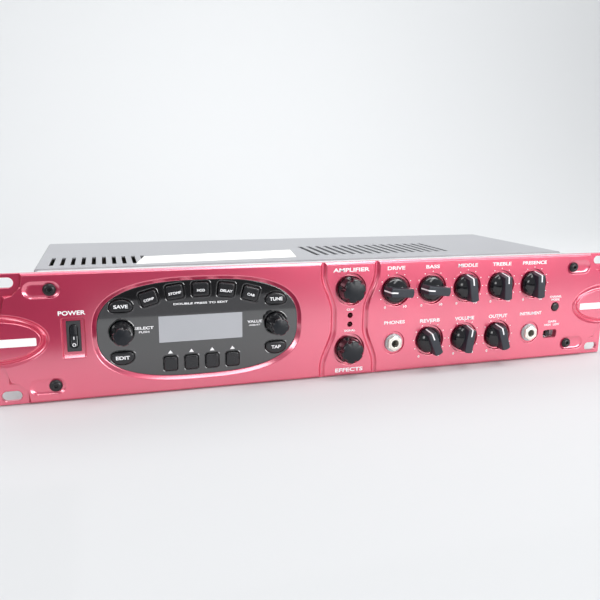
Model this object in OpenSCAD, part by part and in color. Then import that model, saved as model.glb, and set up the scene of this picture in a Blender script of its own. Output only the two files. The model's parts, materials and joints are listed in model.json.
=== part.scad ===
// Two-unit rack effects processor: an aluminium front panel with knobs, keys and a display,
// in front of a folded steel case that holds the boards, the transformer and the rear sockets.
// X runs to the right, Y runs into the case and Z runs up. The origin is the middle of the
// rack-hole pattern, on the back of the ears, where the panel meets the rack's rails.

/* [Front panel] */
// Overall width over the ears
panel_w = 482.6; // [470:0.1:500]
// Height of the panel, two rack units less clearance
panel_h = 88; // [86:0.5:106]
// Thickness of the panel in front of the rails
panel_t = 5; // [4.5:0.5:8]
// Thickness of the ears, round the rack slots
ear_t = 3; // [2:0.5:4]
// Width of each strip at the side where the panel thins to the ear
ear_strip = 7.8; // [5:0.1:12]
// Width of the thin pad round a rack slot
ear_pad_w = 19; // [17:0.5:22]
// Height of the thin pad round a rack slot
ear_pad_h = 14.2; // [13:0.1:16]
// Bevel along the top and bottom front edges
panel_bevel = 1.6; // [0.5:0.1:2]

/* [Rack slots] */
// Distance between the slots, side to side
rack_pitch_x = 465.1; // [455:0.1:475]
// Distance between the slots, top to bottom
rack_pitch_z = 76.2; // [70:0.1:90]
// Length of a slot
rack_slot_l = 12.5; // [9:0.5:14]
// Height of a slot
rack_slot_h = 6.8; // [6:0.1:8]

/* [Case] */
// Width of the case behind the panel
case_w = 433.2; // [425:0.1:440]
// Depth of the case behind the rails
case_d = 167; // [160:1:260]
// Height of the case without its feet
case_h = 83.2; // [80:0.1:86]
// Thickness of the sheet steel
sheet_t = 1.2; // [0.8:0.1:1.5]
// Height of the cover's side lips
lip_h = 14; // [10:1:30]
// Distance from the rails to the cover's front edge
cover_setback = 28; // [10:1:34]
// Height of a foot
foot_h = 2.9; // [2.5:0.1:8]
// Radius of a foot
foot_r = 8; // [5:0.5:12]

/* [Vents] */
// Number of short vent slots
short_vents = 10; // [1:1:10]
// Number of long vent slots
long_vents = 16; // [1:1:18]

/* [Display window] */
// Half width of the oval lens
lens_a = 70.5; // [68:0.1:72]
// Half height of the oval lens
lens_b = 34.1; // [33.8:0.1:35]
// Thickness of the lens
lens_t = 2; // [1.5:0.1:2.2]
// Width of the display
lcd_w = 58.8; // [50:0.1:64]
// Height of the display
lcd_h = 18.7; // [14:0.1:20]

/* [Controls] */
// Distance between the tone knobs
knob_pitch = 31; // [29:0.1:32]
// Height of each knob row above or below the middle
knob_row_z = 20.7; // [20:0.1:24]
// Radius of a tone knob's skirt
pot_knob_r = 11.2; // [9.5:0.1:12]
// How far a tone knob stands out from the panel
pot_knob_out = 10.8; // [9.8:0.1:16]
// Radius of a large selector knob
selector_r = 11.2; // [9.5:0.1:12]
// How far a large selector stands out from the panel
selector_out = 9.5; // [8.5:0.1:16]
// Radius of a small selector knob
small_selector_r = 7.7; // [7:0.1:8]
// How far a small selector stands out from the panel
small_selector_out = 13.5; // [11:0.1:18]
// Radius of every control shaft
shaft_r = 3; // [2.5:0.1:3.2]
// How far a button goes in
key_travel = 0.6; // [0.3:0.1:0.8]
// Travel of the slide switch
slider_travel = 4; // [2:0.5:4.5]
// Swing of the power rocker, end to end
rocker_swing = 14; // [8:1:16]

/* [Fits] */
// Radial clearance of a turning shaft or pin
running_gap = 0.05; // [0.02:0.01:0.1]
// Gap round a button, the rocker or the slider
key_gap = 0.4; // [0.3:0.05:0.6]
// Gap between a knob and the round dish it sits in
dish_gap = 1; // [0.6:0.1:1.4]

/* [Hidden] */
$fn = 64;
eps = 0.01;
front = -panel_t;
ear_front = -ear_t;
case_x = case_w / 2;
case_top = case_h / 2;
tray_x = case_x - sheet_t;
rear_in = case_d - sheet_t;

// Oval display window, and the sloped recess round it.
bezel_x = -106.8;
bezel_z = 1;
oval_power = 2.7;
recess_rim = 3;
ledge_w = 1;
lens_front = front + 2;
lens_back = lens_front + lens_t;

// Boards stand this far behind the rails.
display_board_y = 8;
control_board_y = 10;
board_t = 1.6;
frame_y = sheet_t;

// Shafts, bushes and their nuts.
bush_r = shaft_r + 0.5;
bush_hole = bush_r + 0.3;
nut_t = 1.9;
nut_r = 5.6;
dish_r = pot_knob_r + dish_gap;
pot_dish_y = front + 1.5;
selector_dish_y = front + 2;
selector_dish_r = selector_r + dish_gap;
hub_r = nut_r + 1;
small_hole_r = small_selector_r + 0.5;

knob_x0 = 42;
selector_x = 5;
selector_z = 23.3;

// Tone knobs: name, column, row and the pointer's angle at rest, clockwise from the top.
POTS = [
    ["drive_knob", 0, 1, -86],
    ["bass_knob", 1, 1, -84],
    ["middle_knob", 2, 1, -10],
    ["treble_knob", 3, 1, -4],
    ["presence_knob", 4, 1, -4],
    ["reverb_knob", 1, -1, -24],
    ["volume_knob", 2, -1, 8],
    ["output_knob", 3, -1, -18],
];
function pot_x(p) = knob_x0 + p[1] * knob_pitch;
function pot_z(p) = p[2] * knob_row_z;
jack_x = [knob_x0, knob_x0 + 4 * knob_pitch];
jack_z = -knob_row_z;

// Keys beside the display sit above and below a small selector.
side_dx = 54.2;
side_dz = 17.3;
side_a = 8;
side_b = 5.8;
side_notch = 2;
SIDE_KEYS = [
    ["save_button", -1, 1],
    ["edit_button", -1, -1],
    ["tune_button", 1, 1],
    ["tap_button", 1, -1],
];
SMALL_SELECTORS = [["select_knob", -1], ["value_knob", 1]];
SELECTORS = [["model_knob", 1], ["effects_knob", -1]];

// Keys on the arc over the display.
arc_r = 133;
arc_top = 27.6;
arc_step = 7.75;
arc_w = 12.2;
arc_h = 10.6;
ARC_KEYS = ["comp_button", "stomp_button", "mod_button", "delay_button", "cab_button"];

// Keys under the display.
soft_pitch = 14.7;
soft_z = -24.8;
soft_w = 10;
soft_h = 10.6;
SOFT_KEYS = ["soft_key_1", "soft_key_2", "soft_key_3", "soft_key_4"];

key_corner = 2;
key_out = 1.4;
key_flange = 0.9;
flange_t = 1.2;
plunger_r = 1.75;
switch_w = 6;
switch_front = 4.6;
plunger_in = 0.7;
small_key_x = 189.5;
small_key_r = 3.3;

// Power switch.
switch_x = -191.8;
switch_z = 0.3;
switch_body_w = 9;
switch_body_h = 21.1;
switch_frame_w = 14.4;
switch_frame_h = 25.2;
switch_front_y = front + 1.4;
rocker_w = 4.6;
rocker_r = 7.8;
rocker_pivot_y = front + 3.4;
trunnion_r = 1;
trunnion_l = 1.5;

// Slide switch.
slide_x = 187;
slide_z = -23.3;
slide_slot_w = 13;
slide_slot_h = 6.5;
lever_w = 4;
lever_h = 4;
slide_front = sheet_t + 0.3;

// Screws, dimples and indicator lights.
screw_x = 205;
screw_z = 32.8;
screw_r = 2;
screw_head_r = 4.2;
screw_head_t = 2.2;
screw_l = 14;
dimple_l = 23;
dimple_w = 11.4;
dimple_x = 4.8;
dimple_d = 0.8;
led_z = 3.5;
led_hole_r = 2.05;
led_r = 1.5;

// Jacks on the front and the rear.
jack_r = 3.2;
jack_bush_r = 4.5;
jack_body = 16;
jack_depth = 24;
jack_nut_r = 6.9;
jack_washer_r = 7.3;
jack_washer_t = 1.5;
jack_nut_t = 2.5;
jack_dish_y = front + 1;
jack_dish_r = 9;

// Raised ovals at the ears and the hourglass grooves, for the panel's relief.
oval_a = 34;
oval_b = 17.8;
groove_x = 4.6;
groove_waist = 12.7;
groove_swell = 8.6;
groove_w = 4.4;
groove_d = 1.2;

// Rear sockets along the back wall.
rear_z = -20;
iec_x = -180;
iec_w = 27.5;
iec_h = 20;
iec_depth = 22;
iec_wall = 2;
xlr_x = [-30, 0];
xlr_r = 11.5;
xlr_bore = 9.2;
xlr_depth = 24;
rear_jack_x = [38, 62, 86, 110];
din_x = [142, 168];
din_r = 7;
din_body = 20;
din_depth = 16;
pedal_x = -62;
usb_x = -86;
main_board_z = -case_top + sheet_t + 6;
main_x = [-104, 196];
main_y = [62, 160];

transformer_x = -152;
transformer_y = 66;
transformer_r = 36;
transformer_h = 32;

// ---- shapes that several pieces share

// Gives a flat shape drawn in X and Z a thickness t, with its front at y0.
module plate(y0, t) {
    translate([0, y0 + t, 0]) rotate([90, 0, 0]) linear_extrude(t) children();
}

// A round bar along Y from y0 to y1.
module bar_y(r, y0, y1, sides = $fn) {
    translate([0, y1, 0]) rotate([90, 0, 0]) cylinder(h = y1 - y0, r = r, $fn = sides);
}

// A body turned about Y, whose profile is drawn as radius and distance out from the panel.
module turned(base_y) {
    translate([0, base_y, 0]) rotate([90, 0, 0]) rotate_extrude() children();
}

module round_rect(w, h, r) {
    square([w - 2 * r, h], center = true);
    square([w, h - 2 * r], center = true);
    for (sx = [-1, 1], sz = [-1, 1])
        translate([sx * (w / 2 - r), sz * (h / 2 - r)]) circle(r);
}

module stadium(l, h) {
    square([l - h, h], center = true);
    for (s = [-1, 1]) translate([s * (l - h) / 2, 0]) circle(h / 2);
}

function signed_power(v, p) = sign(v) * pow(abs(v), p);

// A rounded oval, fuller than an ellipse when the power n is over 2.
module oval(a, b, n = oval_power, steps = 96) {
    polygon([for (i = [0:steps - 1]) let (t = 360 * i / steps)
        [a * signed_power(cos(t), 2 / n), b * signed_power(sin(t), 2 / n)]]);
}

// A key that curves round the knob below it: an oval whose underside is pushed up.
module curved_key(grow = 0, steps = 48) {
    a = side_a + grow;
    b = side_b + grow;
    polygon([for (i = [0:steps - 1])
        let (t = 360 * i / steps,
             x = a * signed_power(cos(t), 2 / 2.4),
             z = b * signed_power(sin(t), 2 / 2.4))
        [x, z < 0 ? z + side_notch * (1 - pow(x / a, 2)) : z]]);
}

module at_bezel() {
    translate([bezel_x, 0, bezel_z]) children();
}

module bezel_2d() {
    translate([bezel_x, bezel_z]) children();
}

// Places a flat shape at each side key's seat, turned over for the lower ones.
module side_key_2d(k) {
    bezel_2d() translate([k[1] * side_dx, k[2] * side_dz]) mirror([0, k[2] < 0 ? 1 : 0]) children();
}

function arc_angle(i) = (i - 2) * arc_step;

module arc_key_2d(i) {
    bezel_2d() translate([0, arc_top - arc_r]) rotate(-arc_angle(i)) translate([0, arc_r]) children();
}

module soft_key_2d(i) {
    bezel_2d() translate([(i - 1.5) * soft_pitch, soft_z]) children();
}

module each_corner_screw() {
    for (sx = [-1, 1], sz = [-1, 1]) translate([sx * screw_x, 0, sz * screw_z]) children();
}

module each_pot() {
    for (p = POTS) translate([pot_x(p), 0, pot_z(p)]) children();
}

module each_selector() {
    for (s = SELECTORS) translate([selector_x, 0, s[1] * selector_z]) children();
}

module each_small_selector() {
    for (s = SMALL_SELECTORS) translate([bezel_x + s[1] * side_dx, 0, bezel_z]) children();
}

module each_front_jack() {
    for (x = jack_x) translate([x, 0, jack_z]) children();
}

// The clear area inside the panel's ledge, behind the lens.
module window_2d() {
    bezel_2d() oval(lens_a - ledge_w, lens_b - ledge_w);
}

// ---- front panel

// Outline of the full-thickness part: notched at the corners for the rack slots.
module raised_outline() {
    difference() {
        square([panel_w - 2 * ear_strip, panel_h], center = true);
        for (sx = [-1, 1], sz = [-1, 1])
            translate([sx * panel_w / 2, sz * panel_h / 2])
                round_rect(2 * ear_pad_w, 2 * ear_pad_h, 5);
    }
    intersection() {
        square([panel_w, panel_h], center = true);
        for (s = [-1, 1]) translate([s * panel_w / 2, 0]) oval(oval_a, oval_b, 2);
    }
}

module groove_2d(side) {
    half = panel_h / 2 + 1;
    steps = 22;
    function ease(t) = t * t * (3 - 2 * t);
    function reach(z) = groove_waist + groove_swell * ease(min(1, max(0, (abs(z) - 6) / 30)));
    rows = [for (i = [0:steps]) let (z = -half + 2 * half * i / steps) [side * reach(z), z]];
    translate([groove_x, 0]) polygon(concat(
        [for (p = rows) [p[0] - groove_w / 2, p[1]]],
        [for (i = [steps:-1:0]) [rows[i][0] + groove_w / 2, rows[i][1]]]));
}

module bevelled_profile() {
    c = panel_bevel;
    h = panel_h / 2;
    rotate([90, 0, 90]) translate([0, 0, -panel_w / 2]) linear_extrude(panel_w)
        polygon([[0, -h], [0, h], [front + c, h], [front, h - c], [front, -h + c], [front + c, -h]]);
}

module front_panel() {
    color([0.86, 0.27, 0.42]) difference() {
        union() {
            plate(ear_front, ear_t) square([panel_w, panel_h], center = true);
            intersection() {
                plate(front, panel_t) raised_outline();
                bevelled_profile();
            }
        }
        for (sx = [-1, 1], sz = [-1, 1])
            translate([sx * rack_pitch_x / 2, 0, sz * rack_pitch_z / 2])
                plate(front - 1, panel_t + 2) stadium(rack_slot_l, rack_slot_h);
        plate(front - 1, 1 + (lens_front - front) / 2) bezel_2d() oval(lens_a + recess_rim, lens_b + recess_rim);
        plate(front - 1, lens_back - front + 1)
            bezel_2d() oval(lens_a + running_gap, lens_b + running_gap);
        plate(front - 1, panel_t + 2) window_2d();
        for (side = [-1, 1]) plate(front - 1, 1 + groove_d) groove_2d(side);
        each_corner_screw() bar_y(screw_r + 0.2, front - 1, 1);
        for (sx = [-1, 1], sz = [-1, 1])
            translate([sx * (screw_x + dimple_x), 0, sz * screw_z])
                plate(front - 1, 1 + dimple_d) stadium(dimple_l, dimple_w);
        each_pot() {
            bar_y(dish_r, front - 1, pot_dish_y);
            bar_y(bush_hole, front - 1, 1);
        }
        each_selector() {
            bar_y(selector_dish_r, front - 1, selector_dish_y);
            bar_y(bush_hole, front - 1, 1);
        }
        each_front_jack() {
            bar_y(jack_dish_r, front - 1, jack_dish_y);
            bar_y(jack_bush_r + 0.2, front - 1, 1);
        }
        for (sz = [-1, 1]) translate([selector_x, 0, sz * led_z]) bar_y(led_hole_r, front - 1, 1);
        translate([small_key_x, 0, 0]) bar_y(small_key_r + key_gap, front - 1, 1);
        translate([switch_x, 0, switch_z]) {
            plate(front - 1, 3) round_rect(switch_frame_w, switch_frame_h, 1);
            plate(front - 1, panel_t + 2) square([switch_body_w + 0.2, switch_body_h + 0.2], center = true);
        }
        translate([slide_x, 0, slide_z])
            plate(front - 1, panel_t + 2) round_rect(slide_slot_w, slide_slot_h, 1.5);
    }
}

// Button-head screws with a hexagon socket, one at each corner of the case.
module panel_screws() {
    seat = front + dimple_d;
    color([0.07, 0.07, 0.08]) each_corner_screw() difference() {
        union() {
            translate([0, seat, 0]) rotate([90, 0, 0])
                cylinder(h = screw_head_t, r1 = screw_head_r, r2 = screw_head_r * 0.62);
            bar_y(screw_r, seat - eps, seat + screw_l);
        }
        bar_y(1.45, seat - screw_head_t - 1, seat - 0.6, 6);
    }
}

// ---- display group

module key_holes_2d(gap) {
    for (k = SIDE_KEYS) side_key_2d(k) curved_key(gap);
    for (i = [0:4]) arc_key_2d(i) round_rect(arc_w + 2 * gap, arc_h + 2 * gap, key_corner + gap);
    for (i = [0:3]) soft_key_2d(i) round_rect(soft_w + 2 * gap, soft_h + 2 * gap, key_corner + gap);
}

module bezel_lens() {
    color([0.03, 0.03, 0.035]) difference() {
        plate(lens_front, lens_t) difference() {
            bezel_2d() oval(lens_a, lens_b);
            key_holes_2d(0);
            bezel_2d() square([lcd_w, lcd_h], center = true);
        }
        each_small_selector() bar_y(small_hole_r, lens_front - 1, lens_back + 1);
    }
}

module lcd_window() {
    color([0.78, 0.8, 0.84, 0.5])
        plate(lens_front, lens_t) bezel_2d() square([lcd_w, lcd_h], center = true);
}

lcd_frame_w = 66;
lcd_frame_h = 25;
lcd_y = lens_back + 0.2;

module lcd_module() {
    color([0.62, 0.66, 0.62]) at_bezel() difference() {
        plate(lcd_y, display_board_y - lcd_y) square([lcd_frame_w, lcd_frame_h], center = true);
        plate(lcd_y - 1, 1.8) square([lcd_w + 1, lcd_h + 1], center = true);
    }
}

module display_board() {
    color([0.05, 0.35, 0.2]) difference() {
        plate(display_board_y, board_t) bezel_2d() round_rect(138, 62, 4);
        for (sx = [-1, 1], sz = [-1, 1])
            translate([bezel_x + sx * 63, 0, bezel_z + sz * 26])
                bar_y(1.6, display_board_y - 1, display_board_y + board_t + 1);
    }
}

// Tact switches: one behind every key, with a round socket for the key's plunger.
module tact_switch(board_y, face_y) {
    difference() {
        plate(face_y, board_y - face_y) square(switch_w, center = true);
        bar_y(plunger_r + 0.1, face_y - 1, face_y + plunger_in + key_travel + 0.3);
    }
}

module at_side_key(k) {
    at_bezel() translate([k[1] * side_dx, 0, k[2] * side_dz]) children();
}

module at_arc_key(i) {
    at_bezel() translate([arc_r * sin(arc_angle(i)), 0, arc_top - arc_r + arc_r * cos(arc_angle(i))])
        children();
}

module at_soft_key(i) {
    at_bezel() translate([(i - 1.5) * soft_pitch, 0, soft_z]) children();
}

module tact_switches() {
    color([0.2, 0.2, 0.22]) {
        for (k = SIDE_KEYS) at_side_key(k) tact_switch(display_board_y, switch_front);
        for (i = [0:4]) at_arc_key(i) tact_switch(display_board_y, switch_front);
        for (i = [0:3]) at_soft_key(i) tact_switch(display_board_y, switch_front);
        translate([small_key_x, 0, 0]) tact_switch(control_board_y, switch_front + 2);
    }
}

// The plunger under a key's flange.
module key_plunger(from_y, face_y) {
    bar_y(plunger_r, from_y - eps, face_y + plunger_in);
}

module side_key(k) {
    color([0.1, 0.1, 0.11]) union() {
        plate(lens_front - key_out, key_out + lens_t + 0.2) side_key_2d(k) curved_key(-key_gap);
        plate(lens_back + 0.1, flange_t) intersection() {
            side_key_2d(k) curved_key(key_flange - key_gap);
            bezel_2d() oval(lens_a - ledge_w - key_gap, lens_b - ledge_w - key_gap);
        }
        at_side_key(k) key_plunger(lens_back + flange_t, switch_front);
    }
}

module arc_key(i) {
    w = arc_w - 2 * key_gap;
    h = arc_h - 2 * key_gap;
    color([0.1, 0.1, 0.11]) union() {
        plate(lens_front - key_out, key_out + lens_t + 0.2) arc_key_2d(i) round_rect(w, h, key_corner);
        plate(lens_back + 0.1, flange_t)
            arc_key_2d(i) round_rect(w + 2 * key_flange, h - 0.4, key_corner);
        at_arc_key(i) key_plunger(lens_back + flange_t, switch_front);
    }
}

module soft_key(i) {
    w = soft_w - 2 * key_gap;
    h = soft_h - 2 * key_gap;
    color([0.1, 0.1, 0.11]) union() {
        plate(lens_front - key_out, key_out + lens_t + 0.2) soft_key_2d(i) round_rect(w, h, key_corner);
        plate(lens_back + 0.1, flange_t)
            soft_key_2d(i) round_rect(w + 2 * key_flange, h - 0.4, key_corner);
        at_soft_key(i) key_plunger(lens_back + flange_t, switch_front);
    }
}

// ---- control group

// A rotary control: square body behind the frame, round bush through frame and panel.
module rotary_body(board_y, body_w, depth, bush_y) {
    difference() {
        union() {
            plate(board_y - depth, depth) square(body_w, center = true);
            bar_y(bush_r, bush_y, board_y - depth + eps);
        }
        bar_y(shaft_r + running_gap, bush_y - 1, board_y - 1.5);
    }
}

pot_bush_y = pot_dish_y - nut_t - 0.3;
selector_bush_y = selector_dish_y - nut_t - 0.3;
small_bush_y = lens_front - 0.4;
shaft_end = 1.9;

module pot_bodies() {
    color([0.55, 0.56, 0.58]) each_pot() rotary_body(control_board_y, 17, 8, pot_bush_y);
}

module encoder_bodies() {
    color([0.5, 0.51, 0.53]) {
        each_selector() rotary_body(control_board_y, 12, 8, selector_bush_y);
        each_small_selector() rotary_body(display_board_y, 12, 6.5, small_bush_y);
    }
}

module hex_nut(seat_y, t, r, bore) {
    difference() {
        bar_y(r, seat_y - t, seat_y, 6);
        bar_y(bore, seat_y - t - 1, seat_y + 1);
    }
}

module control_nuts() {
    color([0.8, 0.8, 0.82]) {
        each_pot() hex_nut(pot_dish_y, nut_t, nut_r, bush_r);
        each_selector() hex_nut(selector_dish_y, nut_t, nut_r, bush_r);
    }
}

// The shaft that a knob is pushed on, from inside the control's body up into the knob.
module control_shaft(board_y, top_y) {
    bar_y(shaft_r, top_y + 2, board_y - shaft_end);
}

// Bore up the inside of a knob: room for the nut, then a snug hole for the shaft.
module knob_bore(base_y, hub_y, top_y) {
    bar_y(hub_r, base_y - 0.1, base_y + 1);
    bar_y(hub_r, hub_y, base_y + 1);
    bar_y(shaft_r + running_gap, top_y + 1.8, base_y + 1);
}

// Tone knob: a glossy domed skirt with a straight grip across it.
module pot_knob(p) {
    base_y = pot_dish_y - 0.4;
    top_y = front - pot_knob_out;
    height = base_y - top_y;
    rim = 1.6;
    dome = height * 0.55;
    grip_w = 6.8;
    grip_r = pot_knob_r - 0.9;
    translate([pot_x(p), 0, pot_z(p)]) rotate([0, p[3], 0]) {
        color([0.08, 0.08, 0.09]) difference() {
            union() {
                turned(base_y) difference() {
                    union() {
                        square([pot_knob_r, rim]);
                        intersection() {
                            translate([0, rim]) circle(pot_knob_r);
                            translate([0, rim - eps]) square([pot_knob_r, dome]);
                        }
                    }
                    translate([-2 * pot_knob_r, -1]) square([2 * pot_knob_r, 4 * height]);
                }
                intersection() {
                    bar_y(grip_r, top_y, base_y);
                    plate(top_y, height) square([grip_w, 2 * grip_r + 1], center = true);
                }
            }
            knob_bore(base_y, pot_bush_y - 0.5, top_y);
        }
        color([0.7, 0.7, 0.72]) control_shaft(control_board_y, top_y);
    }
}

// Selector knob with finger scallops round a flat cap.
module selector_knob(base_y, top_y, board_y, r, cap_r, scallops, hub_y) {
    height = base_y - top_y;
    rim = height * 0.3;
    color([0.08, 0.08, 0.09]) difference() {
        turned(base_y) polygon([[0, 0], [r, 0], [r, rim], [cap_r, height - 1], [cap_r - 1, height], [0, height]]);
        for (i = [0:scallops - 1]) rotate([0, (i + 0.5) * 360 / scallops, 0])
            translate([0, 0, cap_r + 1.6]) bar_y(2.6, top_y - 1, base_y - rim - 0.8);
        knob_bore(base_y, hub_y, top_y);
    }
    color([0.7, 0.7, 0.72]) control_shaft(board_y, top_y);
}

module large_selector(s) {
    translate([selector_x, 0, s[1] * selector_z])
        selector_knob(selector_dish_y - 0.4, front - selector_out, control_board_y,
                      selector_r, selector_r - 1.6, 8, selector_bush_y - 0.5);
}

module small_selector(s) {
    translate([bezel_x + s[1] * side_dx, 0, bezel_z])
        selector_knob(lens_front + 1, front - small_selector_out, display_board_y,
                      small_selector_r, small_selector_r - 1.4, 6, small_bush_y - 0.5);
}

board_left = selector_x - 14;
board_right = 207;
control_spacer_x = [board_left + 5, knob_x0 + 1.5 * knob_pitch, board_right - 11];
control_spacer_z = 34;

module control_board() {
    color([0.05, 0.35, 0.2]) difference() {
        plate(control_board_y, board_t) translate([board_left, -38]) square([board_right - board_left, 76]);
        each_front_jack() plate(control_board_y - 1, board_t + 2) square(jack_body + 1, center = true);
        for (x = control_spacer_x, sz = [-1, 1])
            translate([x, 0, sz * control_spacer_z])
                bar_y(1.6, control_board_y - 1, control_board_y + board_t + 1);
        plate(control_board_y - 1, board_t + 2) translate([slide_x, slide_z]) square([17, 10], center = true);
    }
}

module indicator_leds() {
    color([0.35, 0.02, 0.04]) for (sz = [-1, 1]) translate([selector_x, 0, sz * led_z]) {
        bar_y(led_r, front + 1, control_board_y);
        translate([0, front + 1, 0]) intersection() {
            sphere(led_r);
            bar_y(led_r + 1, -led_r, eps);
        }
    }
}

module mode_button() {
    top_y = front - 1;
    color([0.12, 0.12, 0.13]) translate([small_key_x, 0, 0]) {
        bar_y(small_key_r, top_y, sheet_t + 1.2);
        bar_y(small_key_r + 1.2, sheet_t + 0.4, sheet_t + 1.6);
        bar_y(plunger_r, sheet_t + 1, switch_front + 2 + plunger_in);
    }
}

// ---- jacks on the panel

module jack_body_shape(bush_from, body_from) {
    difference() {
        union() {
            bar_y(jack_bush_r, bush_from, body_from + eps);
            plate(body_from, jack_depth) square(jack_body, center = true);
        }
        bar_y(jack_r, bush_from - 1, body_from + jack_depth - 2);
    }
}

jack_bush_y = jack_dish_y - jack_washer_t - jack_nut_t - 0.5;

module jack_sockets() {
    color([0.12, 0.12, 0.13]) each_front_jack() jack_body_shape(jack_bush_y, sheet_t + 0.4);
}

module jack_nuts() {
    color([0.85, 0.85, 0.87]) each_front_jack() difference() {
        union() {
            bar_y(jack_washer_r, jack_dish_y - jack_washer_t, jack_dish_y);
            bar_y(jack_nut_r, jack_dish_y - jack_washer_t - jack_nut_t, jack_dish_y - jack_washer_t + eps, 6);
        }
        bar_y(jack_bush_r, jack_dish_y - jack_washer_t - jack_nut_t - 1, jack_dish_y + 1);
    }
}

// ---- power and slide switches

module power_switch_housing() {
    deep = 14;
    color([0.07, 0.07, 0.08]) translate([switch_x, 0, switch_z]) difference() {
        union() {
            plate(switch_front_y, deep) square([switch_body_w, switch_body_h], center = true);
            translate([0, frame_y + 1.4, 0]) plate(0, 2) square([switch_body_w + 3, switch_body_h + 3], center = true);
        }
        plate(switch_front_y - 1, deep - 1)
            square([rocker_w + 2 * key_gap, 2 * (rocker_r + key_gap)], center = true);
        translate([0, rocker_pivot_y, 0]) rotate([0, 90, 0])
            cylinder(h = rocker_w + 2 * trunnion_l + 0.4, r = trunnion_r + running_gap, center = true);
    }
}

// The rocker is two flats meeting at its pivot line; it rests with its upper end pressed in.
module power_rocker() {
    tip = 3.1;
    waist = 2.1;
    color([0.16, 0.16, 0.18]) translate([switch_x, rocker_pivot_y, switch_z])
        rotate([-rocker_swing / 2, 0, 0]) {
            intersection() {
                rotate([0, 90, 0]) cylinder(h = rocker_w, r = rocker_r, center = true);
                rotate([90, 0, 90]) translate([0, 0, -rocker_w / 2]) linear_extrude(rocker_w)
                    polygon([[-tip, -rocker_r], [-waist, 0], [-tip, rocker_r],
                             [1, rocker_r], [4.5, 2.5], [4.5, -2.5], [1, -rocker_r]]);
            }
            rotate([0, 90, 0]) cylinder(h = rocker_w + 2 * trunnion_l, r = trunnion_r, center = true);
        }
}

module slide_switch_housing() {
    color([0.6, 0.6, 0.62]) translate([slide_x, 0, slide_z]) difference() {
        plate(slide_front, 7) square([15.4, 8.4], center = true);
        plate(slide_front - 1, 5.5)
            square([lever_w + slider_travel + 2 * key_gap, lever_h + 2 * key_gap], center = true);
    }
}

module gain_slider() {
    color([0.1, 0.1, 0.11]) translate([slide_x - slider_travel / 2, 0, slide_z])
        plate(front + 0.6, slide_front + 3.6 - front) square([lever_w, lever_h], center = true);
}

// ---- case

// Inner sheet behind the panel: a flat wall with a flange along its top and bottom.
module front_frame() {
    flange = cover_setback + 6;
    inner_z = case_top - sheet_t;
    color([0.88, 0.88, 0.9]) difference() {
        union() {
            plate(0, sheet_t) square([2 * tray_x - 2 * sheet_t - 0.4, 2 * inner_z], center = true);
            translate([-tray_x + sheet_t + 0.2, 0, inner_z - sheet_t])
                cube([2 * tray_x - 2 * sheet_t - 0.4, flange, sheet_t]);
        }
        plate(-1, sheet_t + 2) window_2d();
        plate(-1, sheet_t + 2) bezel_2d() square([142, 64], center = true);
        each_pot() bar_y(bush_hole + 0.2, -1, sheet_t + 1);
        each_selector() bar_y(bush_hole + 0.2, -1, sheet_t + 1);
        each_front_jack() bar_y(jack_bush_r + 0.4, -1, sheet_t + 1);
        for (sz = [-1, 1]) translate([selector_x, 0, sz * led_z]) bar_y(led_hole_r, -1, sheet_t + 1);
        each_corner_screw() bar_y(screw_r, -1, sheet_t + 1);
        translate([small_key_x, 0, 0]) bar_y(small_key_r + key_gap, -1, sheet_t + 1);
        translate([switch_x, 0, switch_z])
            plate(-1, sheet_t + 2) square([switch_body_w + 0.4, switch_body_h + 0.4], center = true);
        translate([slide_x, 0, slide_z])
            plate(-1, sheet_t + 2) square([slide_slot_w, slide_slot_h], center = true);
    }
}

module rear_cutouts() {
    t = sheet_t + 2;
    y = rear_in - 1;
    translate([iec_x, 0, rear_z]) plate(y, t) square([iec_w + 0.4, iec_h + 0.4], center = true);
    for (x = xlr_x) translate([x, 0, rear_z]) bar_y(xlr_r + 0.2, y, y + t);
    for (x = rear_jack_x) translate([x, 0, rear_z]) bar_y(jack_bush_r + 0.2, y, y + t);
    for (x = din_x) translate([x, 0, rear_z]) bar_y(din_r + 1.2, y, y + t);
    translate([pedal_x, 0, rear_z]) plate(y, t) square([16.4, 14.4], center = true);
    translate([usb_x, 0, rear_z]) plate(y, t) square([12.4, 11.4], center = true);
}

module chassis_tray() {
    side_h = case_h - sheet_t;
    color([0.75, 0.76, 0.78]) difference() {
        union() {
            translate([-tray_x, 0, -case_top]) cube([2 * tray_x, case_d, sheet_t]);
            for (x = [-tray_x, tray_x - sheet_t]) translate([x, 0, -case_top]) cube([sheet_t, case_d, side_h]);
        }
        each_foot() translate([0, 0, -eps]) cylinder(h = sheet_t + 1, r = 2);
    }
}

// Plate that closes the back of the tray and carries the rear sockets.
module rear_panel() {
    w = 2 * (tray_x - sheet_t);
    color([0.75, 0.76, 0.78]) difference() {
        translate([-w / 2, rear_in, -case_top + sheet_t]) cube([w, sheet_t, case_h - 2 * sheet_t]);
        rear_cutouts();
    }
}

short_vent_x = -206.4;
short_vent_pitch = 7.25;
short_vent_w = 3;
short_vent_l = 38;
short_vent_y = 39.5;
long_vent_x = -2;
long_vent_pitch = 7.9;
long_vent_w = 2.2;
long_vent_l = 54;
long_vent_y = 51;

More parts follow.
